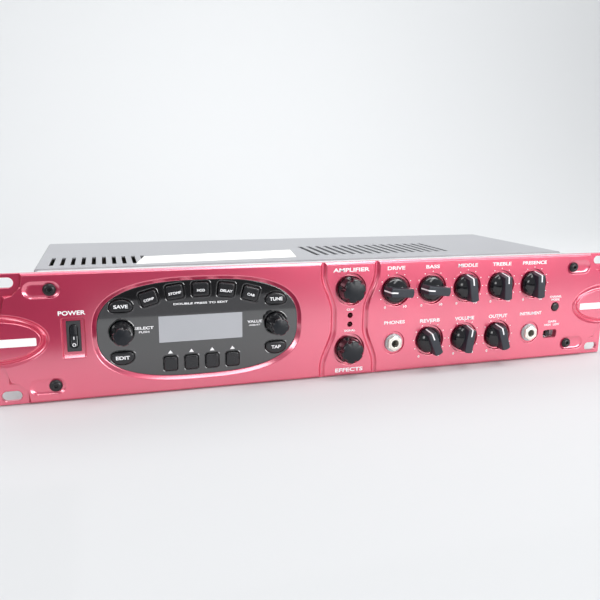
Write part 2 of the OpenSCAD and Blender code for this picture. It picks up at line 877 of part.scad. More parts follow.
module top_cover() {
    y0 = cover_setback;
    l = case_d - cover_setback;
    color([0.72, 0.73, 0.76]) difference() {
        union() {
            translate([-case_x, y0, case_top - sheet_t]) cube([case_w, l, sheet_t]);
            for (x = [-case_x, case_x - sheet_t])
                translate([x, y0, case_top - lip_h]) cube([sheet_t, l, lip_h]);
        }
        for (i = [0:short_vents - 1])
            translate([short_vent_x + i * short_vent_pitch - short_vent_w / 2, short_vent_y, 0])
                cube([short_vent_w, short_vent_l, case_h]);
        for (i = [0:long_vents - 1])
            translate([long_vent_x + i * long_vent_pitch - long_vent_w / 2, long_vent_y, 0])
                cube([long_vent_w, long_vent_l, case_h]);
        each_cover_screw() rotate([0, 90, 0]) translate([0, 0, -1]) cylinder(h = sheet_t + 2, r = 1.7);
    }
}

cover_screw_z = case_top - lip_h / 2;
cover_screw_head = 2.8;

// Puts its children on the case's sides with X pointing out, on both sides.
module each_cover_screw() {
    for (s = [0, 1], y = [cover_setback + 12, (cover_setback + case_d) / 2, case_d - 12])
        mirror([s, 0, 0]) translate([tray_x, y, cover_screw_z]) children();
}

module cover_screws() {
    color([0.08, 0.08, 0.09]) each_cover_screw() rotate([0, 90, 0]) difference() {
        union() {
            translate([0, 0, sheet_t]) cylinder(h = 1.5, r1 = cover_screw_head, r2 = cover_screw_head * 0.7);
            translate([0, 0, eps]) cylinder(h = sheet_t, r = 1.5);
        }
        for (a = [0, 90]) rotate(a) translate([-1.4, -0.3, sheet_t + 0.7]) cube([2.8, 0.6, 2]);
    }
}

module each_foot() {
    for (sx = [-1, 1], y = [24, case_d - 22]) translate([sx * 190, y, -case_top]) children();
}

module rubber_feet() {
    color([0.06, 0.06, 0.065]) each_foot() {
        rotate([180, 0, 0]) cylinder(h = foot_h, r1 = foot_r, r2 = foot_r - 1);
        translate([0, 0, -eps]) cylinder(h = sheet_t + 0.8, r = 1.9);
    }
}

// ---- boards and power inside the case

module main_board() {
    color([0.05, 0.35, 0.2]) difference() {
        translate([main_x[0], main_y[0], main_board_z])
            cube([main_x[1] - main_x[0], main_y[1] - main_y[0], board_t]);
        each_main_standoff() cylinder(h = 20, r = 1.6, center = true);
    }
}

module each_main_standoff() {
    for (x = [main_x[0] + 6, (main_x[0] + main_x[1]) / 2, main_x[1] - 6], y = [main_y[0] + 6, 130])
        translate([x, y, main_board_z]) children();
}

// Processor, converters and capacitors standing on the main board.
module board_parts() {
    z = main_board_z + board_t;
    color([0.12, 0.12, 0.13]) {
        translate([20, 84, z]) cube([28, 28, 2.4]);
        for (i = [0:3]) translate([62 + i * 20, 88, z]) cube([12, 18, 2]);
        for (i = [0:3]) translate([-80 + i * 22, 78, z]) cube([7, 16, 4.4]);
        for (i = [0:4]) translate([-72 + i * 17, 112, z]) cylinder(h = 16, r = 5);
        for (i = [0:5]) translate([66 + i * 20, 124, z]) cylinder(h = 11, r = 4);
    }
}

power_board_x = [-206, -112];
power_board_y = [112, 138];

module power_board() {
    z = main_board_z;
    color([0.6, 0.5, 0.25]) {
        translate([power_board_x[0], power_board_y[0], z])
            cube([power_board_x[1] - power_board_x[0], power_board_y[1] - power_board_y[0], board_t]);
        translate([-200, 117, z + board_t - eps]) cube([30, 16, 20]);
        for (i = [0:2]) translate([-156 + i * 17, 125, z + board_t - eps]) cylinder(h = 26, r = 7);
    }
}

// A ring-wound transformer with its clamping bolt.
module transformer() {
    floor_z = -case_top + sheet_t;
    core_r = 7;
    edge = 6;
    color([0.8, 0.65, 0.2]) translate([transformer_x, transformer_y, floor_z]) {
        difference() {
            union() {
                cylinder(h = transformer_h, r = transformer_r - edge);
                translate([0, 0, edge]) cylinder(h = transformer_h - 2 * edge, r = transformer_r);
                for (z = [edge, transformer_h - edge]) translate([0, 0, z])
                    rotate_extrude() translate([transformer_r - edge, 0]) circle(edge);
            }
            translate([0, 0, -1]) cylinder(h = transformer_h + 2, r = core_r);
        }
        cylinder(h = transformer_h + 6, r = 3);
        translate([0, 0, transformer_h]) cylinder(h = 2, r = transformer_r - 8);
        translate([0, 0, transformer_h + 2 - eps]) cylinder(h = 3, r = 5.5, $fn = 6);
    }
}

// Hexagonal spacers: six behind the control frame, six under the main board, two under the power board.
module spacer(l) {
    difference() {
        cylinder(h = l, r = 2.9, $fn = 6);
        translate([0, 0, -1]) cylinder(h = l + 2, r = 1.25);
    }
}

module standoffs() {
    floor_z = -case_top + sheet_t;
    color([0.8, 0.75, 0.45]) {
        for (x = control_spacer_x, sz = [-1, 1]) translate([x, control_board_y, sz * control_spacer_z])
            rotate([90, 0, 0]) spacer(control_board_y - sheet_t);
        each_main_standoff() translate([0, 0, floor_z - main_board_z]) spacer(main_board_z - floor_z);
        for (x = [power_board_x[0] + 5, power_board_x[1] - 5])
            translate([x, power_board_y[0] + 13, floor_z]) spacer(main_board_z - floor_z);
    }
}

// Flat ribbons from the front boards, down to the floor and back to the main board.
module ribbon(x, w, board_y) {
    t = 0.9;
    y0 = board_y + board_t;
    drop_y = y0 + 10;
    low_z = main_board_z + board_t + 1;
    end_y = main_y[0] + 8;
    translate([x - w / 2, 0, 0]) rotate([90, 0, 90]) linear_extrude(w)
        polygon([[y0, -8], [drop_y, -8], [drop_y, low_z + t], [end_y, low_z + t],
                 [end_y, main_board_z + board_t], [end_y - t, main_board_z + board_t], [end_y - t, low_z],
                 [drop_y - t, low_z], [drop_y - t, -8 - t], [y0, -8 - t]]);
}

module ribbon_cables() {
    color([0.62, 0.64, 0.68]) {
        ribbon(-62, 34, display_board_y);
        ribbon(knob_x0 + 1.5 * knob_pitch, 42, control_board_y);
    }
}

// ---- rear sockets

module iec_inlet() {
    mouth = case_d + 1.5;
    color([0.08, 0.08, 0.09]) translate([iec_x, 0, rear_z]) {
        difference() {
            union() {
                plate(case_d - iec_depth, iec_depth + 1.5) square([iec_w, iec_h], center = true);
                plate(case_d, 2) round_rect(48, 24, 3);
            }
            plate(mouth - 16, 20) square([iec_w - 2 * iec_wall, iec_h - 2 * iec_wall], center = true);
            for (s = [-1, 1]) translate([s * 20, 0, 0]) bar_y(1.7, case_d - 1, case_d + 3);
        }
        for (p = [[-7, -2], [0, 2], [7, -2]])
            translate([p[0], 0, p[1]]) plate(mouth - 17, 11) square([2, 4], center = true);
    }
}

module xlr_outputs() {
    color([0.3, 0.31, 0.33]) for (x = xlr_x) translate([x, 0, rear_z]) {
        difference() {
            union() {
                bar_y(xlr_r, case_d - xlr_depth, case_d + 1);
                plate(case_d, 2) round_rect(26, 31, 2);
            }
            bar_y(xlr_bore, case_d + 2 - 15, case_d + 4);
            for (s = [-1, 1]) translate([s * 9.5, 0, s * 12]) bar_y(1.6, case_d - 1, case_d + 3);
        }
        for (a = [0, 120, 240]) rotate([0, a, 0]) translate([0, 0, 4]) bar_y(1.2, case_d - 14, case_d - 4);
    }
}

module rear_jacks() {
    color([0.12, 0.12, 0.13]) for (x = rear_jack_x) translate([x, 0, rear_z]) mirror([0, 1, 0])
        translate([0, -rear_in, 0]) {
            jack_body_shape(-sheet_t - 3.5, 0);
            hex_nut(-sheet_t, 2.5, jack_nut_r, jack_bush_r - eps);
        }
}

module round_data_socket() {
    difference() {
        union() {
            plate(rear_in - din_depth, din_depth) square(din_body, center = true);
            bar_y(din_r + 1, rear_in - 1, case_d + 0.6);
        }
        bar_y(din_r, case_d - 9, case_d + 2);
    }
}

// Two round five-pole sockets, the square one for a foot controller and the smaller one for a computer.
module data_sockets() {
    color([0.1, 0.1, 0.11]) for (x = din_x) translate([x, 0, rear_z]) round_data_socket();
    color([0.7, 0.71, 0.73]) {
        translate([pedal_x, 0, rear_z]) difference() {
            plate(case_d - 18, 18.6) square([16, 14], center = true);
            plate(case_d - 13, 15) square([11.8, 8], center = true);
        }
        translate([usb_x, 0, rear_z]) difference() {
            plate(case_d - 16, 16.6) square([12, 11], center = true);
            plate(case_d - 10, 12) square([8.4, 7.6], center = true);
        }
    }
}

front_panel();
front_frame();
chassis_tray();
top_cover();
cover_screws();
panel_screws();
rubber_feet();
bezel_lens();
lcd_window();
lcd_module();
display_board();
control_board();
main_board();
board_parts();
power_board();
transformer();
encoder_bodies();
pot_bodies();
control_nuts();
tact_switches();
jack_sockets();
jack_nuts();
indicator_leds();
power_switch_housing();
slide_switch_housing();
iec_inlet();
xlr_outputs();
rear_jacks();
data_sockets();
rear_panel();
ribbon_cables();
standoffs();
for (p = POTS) pot_knob(p);
for (s = SELECTORS) large_selector(s);
for (s = SMALL_SELECTORS) small_selector(s);
for (k = SIDE_KEYS) side_key(k);
for (i = [0:4]) arc_key(i);
for (i = [0:3]) soft_key(i);
mode_button();
power_rocker();
gain_slider();
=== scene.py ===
import json
import math
import bpy
import bmesh
from mathutils import Matrix, Vector


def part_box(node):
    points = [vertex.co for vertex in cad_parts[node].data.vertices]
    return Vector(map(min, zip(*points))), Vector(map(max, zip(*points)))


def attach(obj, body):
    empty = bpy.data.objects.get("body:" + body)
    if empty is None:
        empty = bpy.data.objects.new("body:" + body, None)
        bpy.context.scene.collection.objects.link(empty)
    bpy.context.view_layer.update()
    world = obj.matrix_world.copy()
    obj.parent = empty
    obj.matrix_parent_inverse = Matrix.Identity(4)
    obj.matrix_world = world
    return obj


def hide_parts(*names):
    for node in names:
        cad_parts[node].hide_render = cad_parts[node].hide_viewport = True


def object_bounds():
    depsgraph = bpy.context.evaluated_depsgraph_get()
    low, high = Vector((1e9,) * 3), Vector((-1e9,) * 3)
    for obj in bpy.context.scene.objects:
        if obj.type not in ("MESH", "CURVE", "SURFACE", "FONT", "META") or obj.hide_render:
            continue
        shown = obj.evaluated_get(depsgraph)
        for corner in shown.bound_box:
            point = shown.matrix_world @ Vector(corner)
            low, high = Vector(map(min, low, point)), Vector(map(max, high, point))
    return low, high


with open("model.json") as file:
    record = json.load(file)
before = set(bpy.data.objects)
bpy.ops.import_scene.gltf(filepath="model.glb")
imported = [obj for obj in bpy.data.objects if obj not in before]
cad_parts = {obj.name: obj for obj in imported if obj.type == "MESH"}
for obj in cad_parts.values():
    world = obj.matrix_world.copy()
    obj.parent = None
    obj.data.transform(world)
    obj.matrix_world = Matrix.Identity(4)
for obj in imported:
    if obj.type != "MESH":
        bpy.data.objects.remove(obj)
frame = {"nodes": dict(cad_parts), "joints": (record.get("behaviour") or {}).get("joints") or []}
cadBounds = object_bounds()
mm = 0.001
home = "chassis"
jointOf = {joint["child"]: joint for joint in frame["joints"]}
scene = bpy.context.scene
print("frame loaded,", len(frame["nodes"]), "nodes")

# ---------- camera, floor and light

viewpoint = {
    "place": (-0.1695, -0.4363, 0.1151),
    "right": (0.9553, -0.2954, 0.0129),
    "forward": (0.2914, 0.9329, -0.2115),
    "focalLength": 37.97,
}

studio = {
    "sweepFront": -3.0,      # metres, where the paper sweep starts
    "sweepBack": 1.5,
    "sweepCurve": 0.7,
    "sweepHeight": 3.2,
    "sweepHalfWidth": 4.5,
    "sweepSteps": 12,
    "paper": (0.65, 0.66, 0.665),
    "worldColour": (0.93, 0.95, 1.0),
    "worldStrength": 0.42,
    # cards lying in front, seen only in reflections: black with its left part nearer, and grey before it
    "flags": {
        "blackFlag": ((0.006, 0.006, 0.007), [(-1.6, -2.2), (1.6, -2.2), (1.6, -0.31), (-0.187, -0.31),
                                              (-0.187, -0.12), (-1.6, -0.12)]),
        "greyFlag": ((0.30, 0.30, 0.31), [(-0.187, -0.31), (1.6, -0.31), (1.6, -0.225), (-0.187, -0.225)]),
    },
}

softboxes = {
    # name: (place, aim, width, height, watts)
    "overheadStrip": ((0.35, -0.27, 1.4), (0.05, 0.0, 0.0), 1.9, 0.36, 9.0),
    "rearSoftbox": ((-0.1, 0.95, 1.25), (0.0, 0.1, 0.0), 1.4, 0.7, 4.5),
    "frontSoftbox": ((0.66, -1.04, 0.2), (0.08, 0.0, 0.0), 0.85, 0.42, 8.0),
    "leftSoftbox": ((-1.1, -1.0, 0.55), (-0.2, 0.0, 0.0), 0.5, 0.5, 4.0),
    "wallSoftbox": ((0.5, 0.0, 2.0), (0.6, 1.5, 0.9), 3.2, 0.6, 33.0),
}


def linked(name, data):
    thing = bpy.data.objects.new(name, data)
    scene.collection.objects.link(thing)
    return thing


def placeCamera():
    right = Vector(viewpoint["right"]).normalized()
    forward = Vector(viewpoint["forward"]).normalized()
    up = right.cross(forward).normalized()
    turn = Matrix((right, up, -forward)).transposed().to_4x4()
    lens = bpy.data.cameras.new("camera")
    lens.lens = viewpoint["focalLength"]
    lens.sensor_width = 36.0
    lens.clip_start = 0.01
    lens.dof.use_dof = False
    camera = linked("camera", lens)
    camera.matrix_world = Matrix.Translation(viewpoint["place"]) @ turn
    scene.camera = camera


def plainMaterial(name, colour, roughness):
    material = bpy.data.materials.new(name)
    material.use_nodes = True
    shader = material.node_tree.nodes["Principled BSDF"]
    shader.inputs["Base Color"].default_value = (*colour, 1.0)
    shader.inputs["Roughness"].default_value = roughness
    return material


def buildStudio():
    floorZ = cadBounds[0][2]
    radius = studio["sweepCurve"]
    profile = [(studio["sweepFront"], floorZ)]
    for step in range(studio["sweepSteps"] + 1):
        angle = math.radians(90 * step / studio["sweepSteps"])
        y = studio["sweepBack"] - radius + radius * math.sin(angle)
        z = floorZ + radius - radius * math.cos(angle)
        profile.append((y, z))
    profile.append((studio["sweepBack"], floorZ + studio["sweepHeight"]))
    bm = bmesh.new()
    rows = [[bm.verts.new((side * studio["sweepHalfWidth"], y, z)) for side in (-1, 1)] for y, z in profile]
    for low, high in zip(rows, rows[1:]):
        bm.faces.new((low[0], low[1], high[1], high[0])).smooth = True
    mesh = bpy.data.meshes.new("paper_sweep")
    bm.to_mesh(mesh)
    bm.free()
    mesh.materials.append(plainMaterial("sweepPaper", studio["paper"], 0.75))
    sweep = linked("paper_sweep", mesh)

    for name, (colour, corners) in studio["flags"].items():
        cardMesh = bpy.data.meshes.new(name)
        cardMesh.from_pydata([(x, y, floorZ + 0.002) for x, y in corners], [], [tuple(range(len(corners)))])
        cardMesh.materials.append(plainMaterial(name, colour, 0.9))
        card = linked(name, cardMesh)
        card.visible_camera = card.visible_diffuse = card.visible_shadow = False

    world = bpy.data.worlds.new("studio")
    scene.world = world
    world.use_nodes = True
    back = world.node_tree.nodes["Background"]
    back.inputs["Color"].default_value = (*studio["worldColour"], 1.0)
    back.inputs["Strength"].default_value = studio["worldStrength"]

    for name, (place, aim, width, height, watts) in softboxes.items():
        light = bpy.data.lights.new(name, "AREA")
        light.shape = "RECTANGLE"
        light.size = width
        light.size_y = height
        light.energy = watts
        lamp = linked(name, light)
        lamp.location = place
        lamp.rotation_euler = (Vector(aim) - Vector(place)).to_track_quat("-Z", "Y").to_euler()
    scene.view_settings.view_transform = "Standard"


placeCamera()
buildStudio()
print("camera and studio set")

# ---------- finishes


def setSockets(tree, node, values):
    # each socket is linked to another one or given a number
    for socket, value in values.items():
        if isinstance(value, bpy.types.NodeSocket):
            tree.links.new(value, node.inputs[socket])
        else:
            node.inputs[socket].default_value = value


def addNode(tree, kind, values={}, **settings):
    node = tree.nodes.new(kind)
    for label, setting in settings.items():
        setattr(node, label, setting)
    setSockets(tree, node, values)
    return node


def nodeTree(kind, name, inputs, outputs):
    # an empty tree with named sockets, (label, type, value) going in and (label, type) coming out
    tree = bpy.data.node_groups.new(name, kind)
    for label, socketType, *value in inputs:
        socket = tree.interface.new_socket(label, in_out="INPUT", socket_type="NodeSocket" + socketType)
        if value:
            socket.default_value = value[0]
    for label, socketType in outputs:
        tree.interface.new_socket(label, in_out="OUTPUT", socket_type="NodeSocket" + socketType)
    return tree, tree.nodes.new("NodeGroupInput").outputs, tree.nodes.new("NodeGroupOutput").inputs


def grainGroup():
    # fine surface grain: round for mouldings and paint, drawn out along one axis for brushed metal
    group, given, result = nodeTree(
        "ShaderNodeTree", "surfaceGrain",
        [("Stretch", "Vector", (1.0, 1.0, 1.0)), ("Scale", "Float", 1000.0), ("Detail", "Float", 3.0)],
        [("Height", "Float")])
    coords = addNode(group, "ShaderNodeTexCoord").outputs["Object"]
    drawn = addNode(group, "ShaderNodeVectorMath", {0: coords, 1: given["Stretch"]}, operation="MULTIPLY")
    noise = addNode(group, "ShaderNodeTexNoise",
                    {"Vector": drawn.outputs["Vector"], "Scale": given["Scale"], "Detail": given["Detail"]})
    group.links.new(noise.outputs["Fac"], result["Height"])
    return group


def smudgeGroup():
    # slow patches of handling and cleaning, as a number about Level
    group, given, result = nodeTree(
        "ShaderNodeTree", "handlingSmudge",
        [("Scale", "Float", 30.0), ("Level", "Float", 0.4), ("Amount", "Float", 0.05)],
        [("Value", "Float"), ("Mask", "Float")])
    coords = addNode(group, "ShaderNodeTexCoord").outputs["Object"]
    noise = addNode(group, "ShaderNodeTexNoise", {"Vector": coords, "Scale": given["Scale"], "Detail": 4.0})
    spread = addNode(group, "ShaderNodeMapRange",
                     {"Value": noise.outputs["Fac"], "From Min": 0.3, "From Max": 0.7})
    around = addNode(group, "ShaderNodeMath", {0: spread.outputs["Result"], 1: 0.5}, operation="SUBTRACT")
    mix = addNode(group, "ShaderNodeMath",
                  {0: around.outputs["Value"], 1: given["Amount"], 2: given["Level"]},
                  operation="MULTIPLY_ADD")
    group.links.new(mix.outputs["Value"], result["Value"])
    group.links.new(spread.outputs["Result"], result["Mask"])
    return group


def edgeGroup():
    # where two faces meet at a corner, broken up by noise, for rubbed edges
    group, given, result = nodeTree(
        "ShaderNodeTree", "rubbedEdge", [("Radius", "Float", 0.0005), ("Amount", "Float", 1.0)],
        [("Mask", "Float"), ("Normal", "Vector")])
    rounded = addNode(group, "ShaderNodeBevel", {"Radius": given["Radius"]}, samples=4).outputs["Normal"]
    surface = addNode(group, "ShaderNodeNewGeometry").outputs["Normal"]
    dot = addNode(group, "ShaderNodeVectorMath", {0: rounded, 1: surface}, operation="DOT_PRODUCT")
    turn = addNode(group, "ShaderNodeMapRange",
                   {"Value": dot.outputs["Value"], "From Min": 0.98, "From Max": 0.85})
    coords = addNode(group, "ShaderNodeTexCoord").outputs["Object"]
    noise = addNode(group, "ShaderNodeTexNoise", {"Vector": coords, "Scale": 350.0})
    broken = addNode(group, "ShaderNodeMath", {0: turn.outputs["Result"], 1: noise.outputs["Fac"]},
                     operation="MULTIPLY")
    mask = addNode(group, "ShaderNodeMath", {0: broken.outputs["Value"], 1: given["Amount"]},
                   operation="MULTIPLY", use_clamp=True)
    group.links.new(mask.outputs["Value"], result["Mask"])
    group.links.new(rounded, result["Normal"])
    return group


grain, smudge, rubbed = grainGroup(), smudgeGroup(), edgeGroup()
finishes = {}


def finish(name, colour, roughness, metallic=0.0, coat=0.0, coatRoughness=0.08, grainScale=1200.0,
           stretch=(1.0, 1.0, 1.0), bump=0.15, bumpDepth=0.00004, smudgeScale=28.0, smudgeAmount=0.06,
           patch=0.06, wear=0.0, wearColour=(0.6, 0.6, 0.6), specular=0.5, coatIor=1.5, rounding=0.0):
    # every finish of the unit: a colour that drifts, rubbed edges, handling and a fine grain
    material = bpy.data.materials.new(name)
    material.use_nodes = True
    tree = material.node_tree
    handled = addNode(tree, "ShaderNodeGroup",
                      {"Scale": smudgeScale, "Level": roughness, "Amount": smudgeAmount}, node_tree=smudge)
    darker = (*[c * (1 - patch) for c in colour], 1.0)
    lighter = (*[min(1.0, c * (1 + patch)) for c in colour], 1.0)
    drift = addNode(tree, "ShaderNodeMix",
                    {"A": darker, "B": lighter, "Factor": handled.outputs["Mask"]}, data_type="RGBA")
    edges = addNode(tree, "ShaderNodeGroup", {"Amount": wear, "Radius": rounding or 0.0005}, node_tree=rubbed)
    worn = addNode(tree, "ShaderNodeMix", {"A": drift.outputs["Result"], "B": (*wearColour, 1.0),
                                           "Factor": edges.outputs["Mask"]}, data_type="RGBA")
    surface = addNode(tree, "ShaderNodeGroup", {"Scale": grainScale, "Stretch": stretch}, node_tree=grain)
    relief = addNode(tree, "ShaderNodeBump",
                     {"Strength": bump, "Distance": bumpDepth, "Height": surface.outputs["Height"]})
    if rounding:
        tree.links.new(edges.outputs["Normal"], relief.inputs["Normal"])
    setSockets(tree, tree.nodes["Principled BSDF"], {
        "Metallic": metallic, "Coat Weight": coat, "Coat Roughness": coatRoughness, "Coat IOR": coatIor,
        "Specular IOR Level": specular, "Roughness": handled.outputs["Value"],
        "Base Color": worn.outputs["Result"], "Normal": relief.outputs["Normal"]})
    finishes[name] = material


brushedAcross = (0.012, 1.0, 1.0)   # brush marks run along X

finish("panelRed", (0.79, 0.023, 0.116), 0.29, metallic=0.6, coat=1.0, coatRoughness=0.19, coatIor=2.7,
       bump=0.0, patch=0.03, smudgeAmount=0.03)
finish("brightSteel", (0.95, 0.95, 0.96), 0.34, metallic=0.5, stretch=brushedAcross, grainScale=3500.0,
       bump=0.25, rounding=0.0003)
finish("zincSteel", (0.62, 0.63, 0.65), 0.42, metallic=0.75, stretch=(1.0, 0.02, 1.0), grainScale=2600.0,
       bump=0.3, patch=0.1, rounding=0.0004)
finish("coverGrey", (0.385, 0.39, 0.408), 0.5, grainScale=2400.0, bump=0.35, patch=0.03, wear=0.4,
       wearColour=(0.8, 0.8, 0.8))
finish("blackSteel", (0.018, 0.018, 0.02), 0.32, metallic=0.4, coat=0.2, wear=0.5,
       wearColour=(0.16, 0.16, 0.17))
finish("footRubber", (0.02, 0.02, 0.021), 0.8, grainScale=1600.0, bump=0.5, bumpDepth=0.0001)
finish("lensBlack", (0.004, 0.004, 0.005), 0.06, coat=1.0, coatRoughness=0.04, coatIor=2.0, bump=0.02,
       smudgeAmount=0.04, smudgeScale=60.0, wear=0.3, wearColour=(0.2, 0.2, 0.2))
finish("displayFilm", (0.42, 0.43, 0.455), 0.25, coat=0.5, coatRoughness=0.1, bump=0.03, patch=0.02)
finish("displayFrame", (0.45, 0.47, 0.46), 0.4, metallic=0.6)
finish("boardGreen", (0.012, 0.16, 0.07), 0.4, coat=0.3, grainScale=900.0, patch=0.2)
finish("boardBrown", (0.32, 0.22, 0.09), 0.55, grainScale=700.0, patch=0.15)
finish("chipBlack", (0.03, 0.03, 0.032), 0.5, patch=0.2)
finish("copperWinding", (0.62, 0.36, 0.1), 0.35, metallic=0.3, coat=0.4, grainScale=500.0, bump=0.6,
       bumpDepth=0.0003)
finish("controlMetal", (0.5, 0.51, 0.53), 0.4, metallic=0.85, patch=0.1)
finish("brightNickel", (0.93, 0.9, 0.82), 0.28, metallic=0.85, bump=0.05, smudgeAmount=0.08)
finish("satinBlack", (0.02, 0.02, 0.022), 0.42, bump=0.3)
finish("indicatorRed", (0.03, 0.002, 0.003), 0.4, bump=0.0, specular=0.2)
finish("switchBlack", (0.014, 0.015, 0.018), 0.22, coat=0.4, bump=0.2, wear=0.3,
       wearColour=(0.12, 0.12, 0.13))
finish("socketMetal", (0.6, 0.61, 0.63), 0.3, metallic=0.9, patch=0.08)
finish("ribbonGrey", (0.42, 0.44, 0.47), 0.5, stretch=(1.0, 0.02, 1.0), grainScale=800.0, bump=0.6,
       bumpDepth=0.0002)
finish("spacerBrass", (0.72, 0.6, 0.26), 0.3, metallic=1.0)
finish("knobGloss", (0.008, 0.008, 0.01), 0.11, coat=0.35, coatRoughness=0.05, bump=0.04, smudgeAmount=0.08,
       smudgeScale=120.0, wear=0.25, wearColour=(0.1, 0.1, 0.11))
finish("knobSatin", (0.02, 0.024, 0.034), 0.34, grainScale=3200.0, bump=0.4, smudgeScale=160.0,
       smudgeAmount=0.1, wear=0.45, wearColour=(0.2, 0.21, 0.23))
finish("capSatin", (0.007, 0.009, 0.013), 0.36, grainScale=3200.0, bump=0.3, specular=0.4,
       smudgeScale=160.0, smudgeAmount=0.08)
finish("keyBlack", (0.01, 0.01, 0.012), 0.26, coat=0.3, grainScale=2600.0, bump=0.25, smudgeScale=150.0,
       smudgeAmount=0.08, wear=0.5, wearColour=(0.15, 0.15, 0.16))
finish("printWhite", (0.93, 0.93, 0.94), 0.45, bump=0.05, patch=0.02)
finish("stickerWhite", (0.97, 0.965, 0.92), 0.5, bump=0.2, grainScale=600.0, patch=0.03)
finish("printBlack", (0.012, 0.012, 0.014), 0.5, bump=0.05)
finish("housingGrey", (0.045, 0.046, 0.05), 0.4, bump=0.3, wear=0.3, wearColour=(0.14, 0.14, 0.15))
finish("markRed", (0.75, 0.12, 0.2), 0.5, bump=0.05)
print("finishes made:", len(finishes))

# ---------- outlines on the panel's plane, as points (x, z) in millimetres


def circle(radius, cx=0.0, cz=0.0, count=64):
    turns = [2 * math.pi * i / count for i in range(count)]
    return [(cx + radius * math.sin(t), cz + radius * math.cos(t)) for t in turns]


def fullOval(a, b, power=2.0, cx=0.0, cz=0.0, count=144):
    points = []
    for i in range(count):
        t = 2 * math.pi * (i + 0.5) / count
        x = math.copysign(abs(math.cos(t)) ** (2 / power), math.cos(t))
        z = math.copysign(abs(math.sin(t)) ** (2 / power), math.sin(t))
        points.append((cx + a * x, cz + b * z))
    return points


def roundRect(width, height, radius, cx=0.0, cz=0.0, steps=6):
    radius = max(0.02, min(radius, width / 2 - 0.001, height / 2 - 0.001))
    points = []
    for corner, (sx, sz) in enumerate(((1, 1), (-1, 1), (-1, -1), (1, -1))):
        for i in range(steps + 1):
            t = math.radians(90 * corner + 90 * i / steps)
            points.append((cx + sx * (width / 2 - radius) + radius * math.cos(t),
                           cz + sz * (height / 2 - radius) + radius * math.sin(t)))
    return points


def stadium(length, height, cx=0.0, cz=0.0):
    return roundRect(length, height, height / 2, cx, cz, steps=12)


def curvedKey(a, b, notch, cx=0.0, cz=0.0, flip=1, count=64):
    # an oval whose inner side is pushed in to clear the selector
    points = []
    for x, z in fullOval(a, b, 2.1, count=count):
        if z < 0:
            z += notch * (1 - (x / a) ** 2)
        points.append((cx + x, cz + flip * z))
    return points


def turned(points, angle, cx=0.0, cz=0.0):
    # clockwise by angle in degrees about the origin, then moved
    s, c = math.sin(math.radians(angle)), math.cos(math.radians(angle))
    return [(cx + x * c + z * s, cz - x * s + z * c) for x, z in points]


# ---------- mesh helpers


def ringOf(bm, points, y):
    return [bm.verts.new((x * mm, y * mm, z * mm)) for x, z in points]


def bridge(bm, first, second):
    count = len(first)
    for i in range(count):
        j = (i + 1) % count
        bm.faces.new((first[i], first[j], second[j], second[i]))


def skin(bm, rows):
    # rows of vertices joined one after the other, with a face at each end
    for first, second in zip(rows, rows[1:]):
        bridge(bm, first, second)
    bm.faces.new(rows[0])
    bm.faces.new(rows[-1])


def loft(bm, rings, looped=False):
    # rings are (points, y); all have the same number of points
    made = [ringOf(bm, points, y) for points, y in rings]
    if looped:
        for first, second in zip(made, made[1:] + made[:1]):
            bridge(bm, first, second)
    else:
        skin(bm, made)
    return made


def lathe(bm, profile, cx=0.0, cz=0.0, count=64):
    # profile is (radius, y) from one end to the other; both ends are closed with a flat cap
    loft(bm, [(circle(max(r, 0.02), cx, cz, count), y) for r, y in profile])


def tube(bm, profile, cx=0.0, cz=0.0, count=48):
    # a closed ring of section points (radius, y)
    loft(bm, [(circle(r, cx, cz, count), y) for r, y in profile], looped=True)


def settle(piece):
    graph = bpy.context.evaluated_depsgraph_get()
    mesh = bpy.data.meshes.new_from_object(piece.evaluated_get(graph))
    piece.modifiers.clear()
    piece.data = mesh
    return piece


def objectFrom(bm, name):
    bmesh.ops.recalc_face_normals(bm, faces=bm.faces[:])
    mesh = bpy.data.meshes.new(name)
    bm.to_mesh(mesh)
    bm.free()
    return linked(name, mesh)


def lofted(name, rings, looped=False):
    bm = bmesh.new()
    loft(bm, rings, looped)
    return objectFrom(bm, name)


def lathed(name, profile, cx=0.0, cz=0.0, count=64):
    bm = bmesh.new()
    lathe(bm, profile, cx, cz, count)
    return objectFrom(bm, name)


def combine(piece, cutter, operation="DIFFERENCE"):
    modifier = piece.modifiers.new("combine", "BOOLEAN")
    modifier.operation = operation
    modifier.solver = "MANIFOLD"
    modifier.object = cutter
    settle(piece)
    bpy.data.objects.remove(cutter)
    return piece


def soften(piece, width, angle):
    modifier = piece.modifiers.new("soften", "BEVEL")
    modifier.width = width * mm
    modifier.segments = 2
    modifier.limit_method = "ANGLE"
    modifier.angle_limit = math.radians(angle)
    modifier.harden_normals = False
    return settle(piece)


def shade(piece, angle=32):
    mesh = piece.data
    mesh.shade_smooth()
    mesh.set_sharp_from_angle(angle=math.radians(angle))
    modifier = piece.modifiers.new("shade", "WEIGHTED_NORMAL")
    modifier.keep_sharp = True
    modifier.weight = 80
    return settle(piece)


def holdFlats(piece):
    # front faces stay flat in shading right up to their rolled lips
    mesh = piece.data
    facing = Vector((0.0, -1.0, 0.0))
    touched = {v for polygon in mesh.polygons if polygon.normal.y < -0.99999 for v in polygon.vertices}
    normals = [Vector(corner.vector) for corner in mesh.corner_normals]
    for polygon in mesh.polygons:
        flat = polygon.normal.y < -0.99999
        for corner in polygon.loop_indices:
            if flat or (mesh.loops[corner].vertex_index in touched and normals[corner].y < -0.75):
                normals[corner] = facing
    mesh.normals_split_custom_set(normals)


def assign(piece, body, replaces=()):
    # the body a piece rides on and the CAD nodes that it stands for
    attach(piece, body)
    if replaces:
        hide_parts(*replaces)


def dressed(piece, material, angle=32):
    # shaded, unless the angle is nothing, and given one finish
    if angle:
        shade(piece, angle)
    piece.data.materials.clear()
    piece.data.materials.append(finishes[material])
    return piece


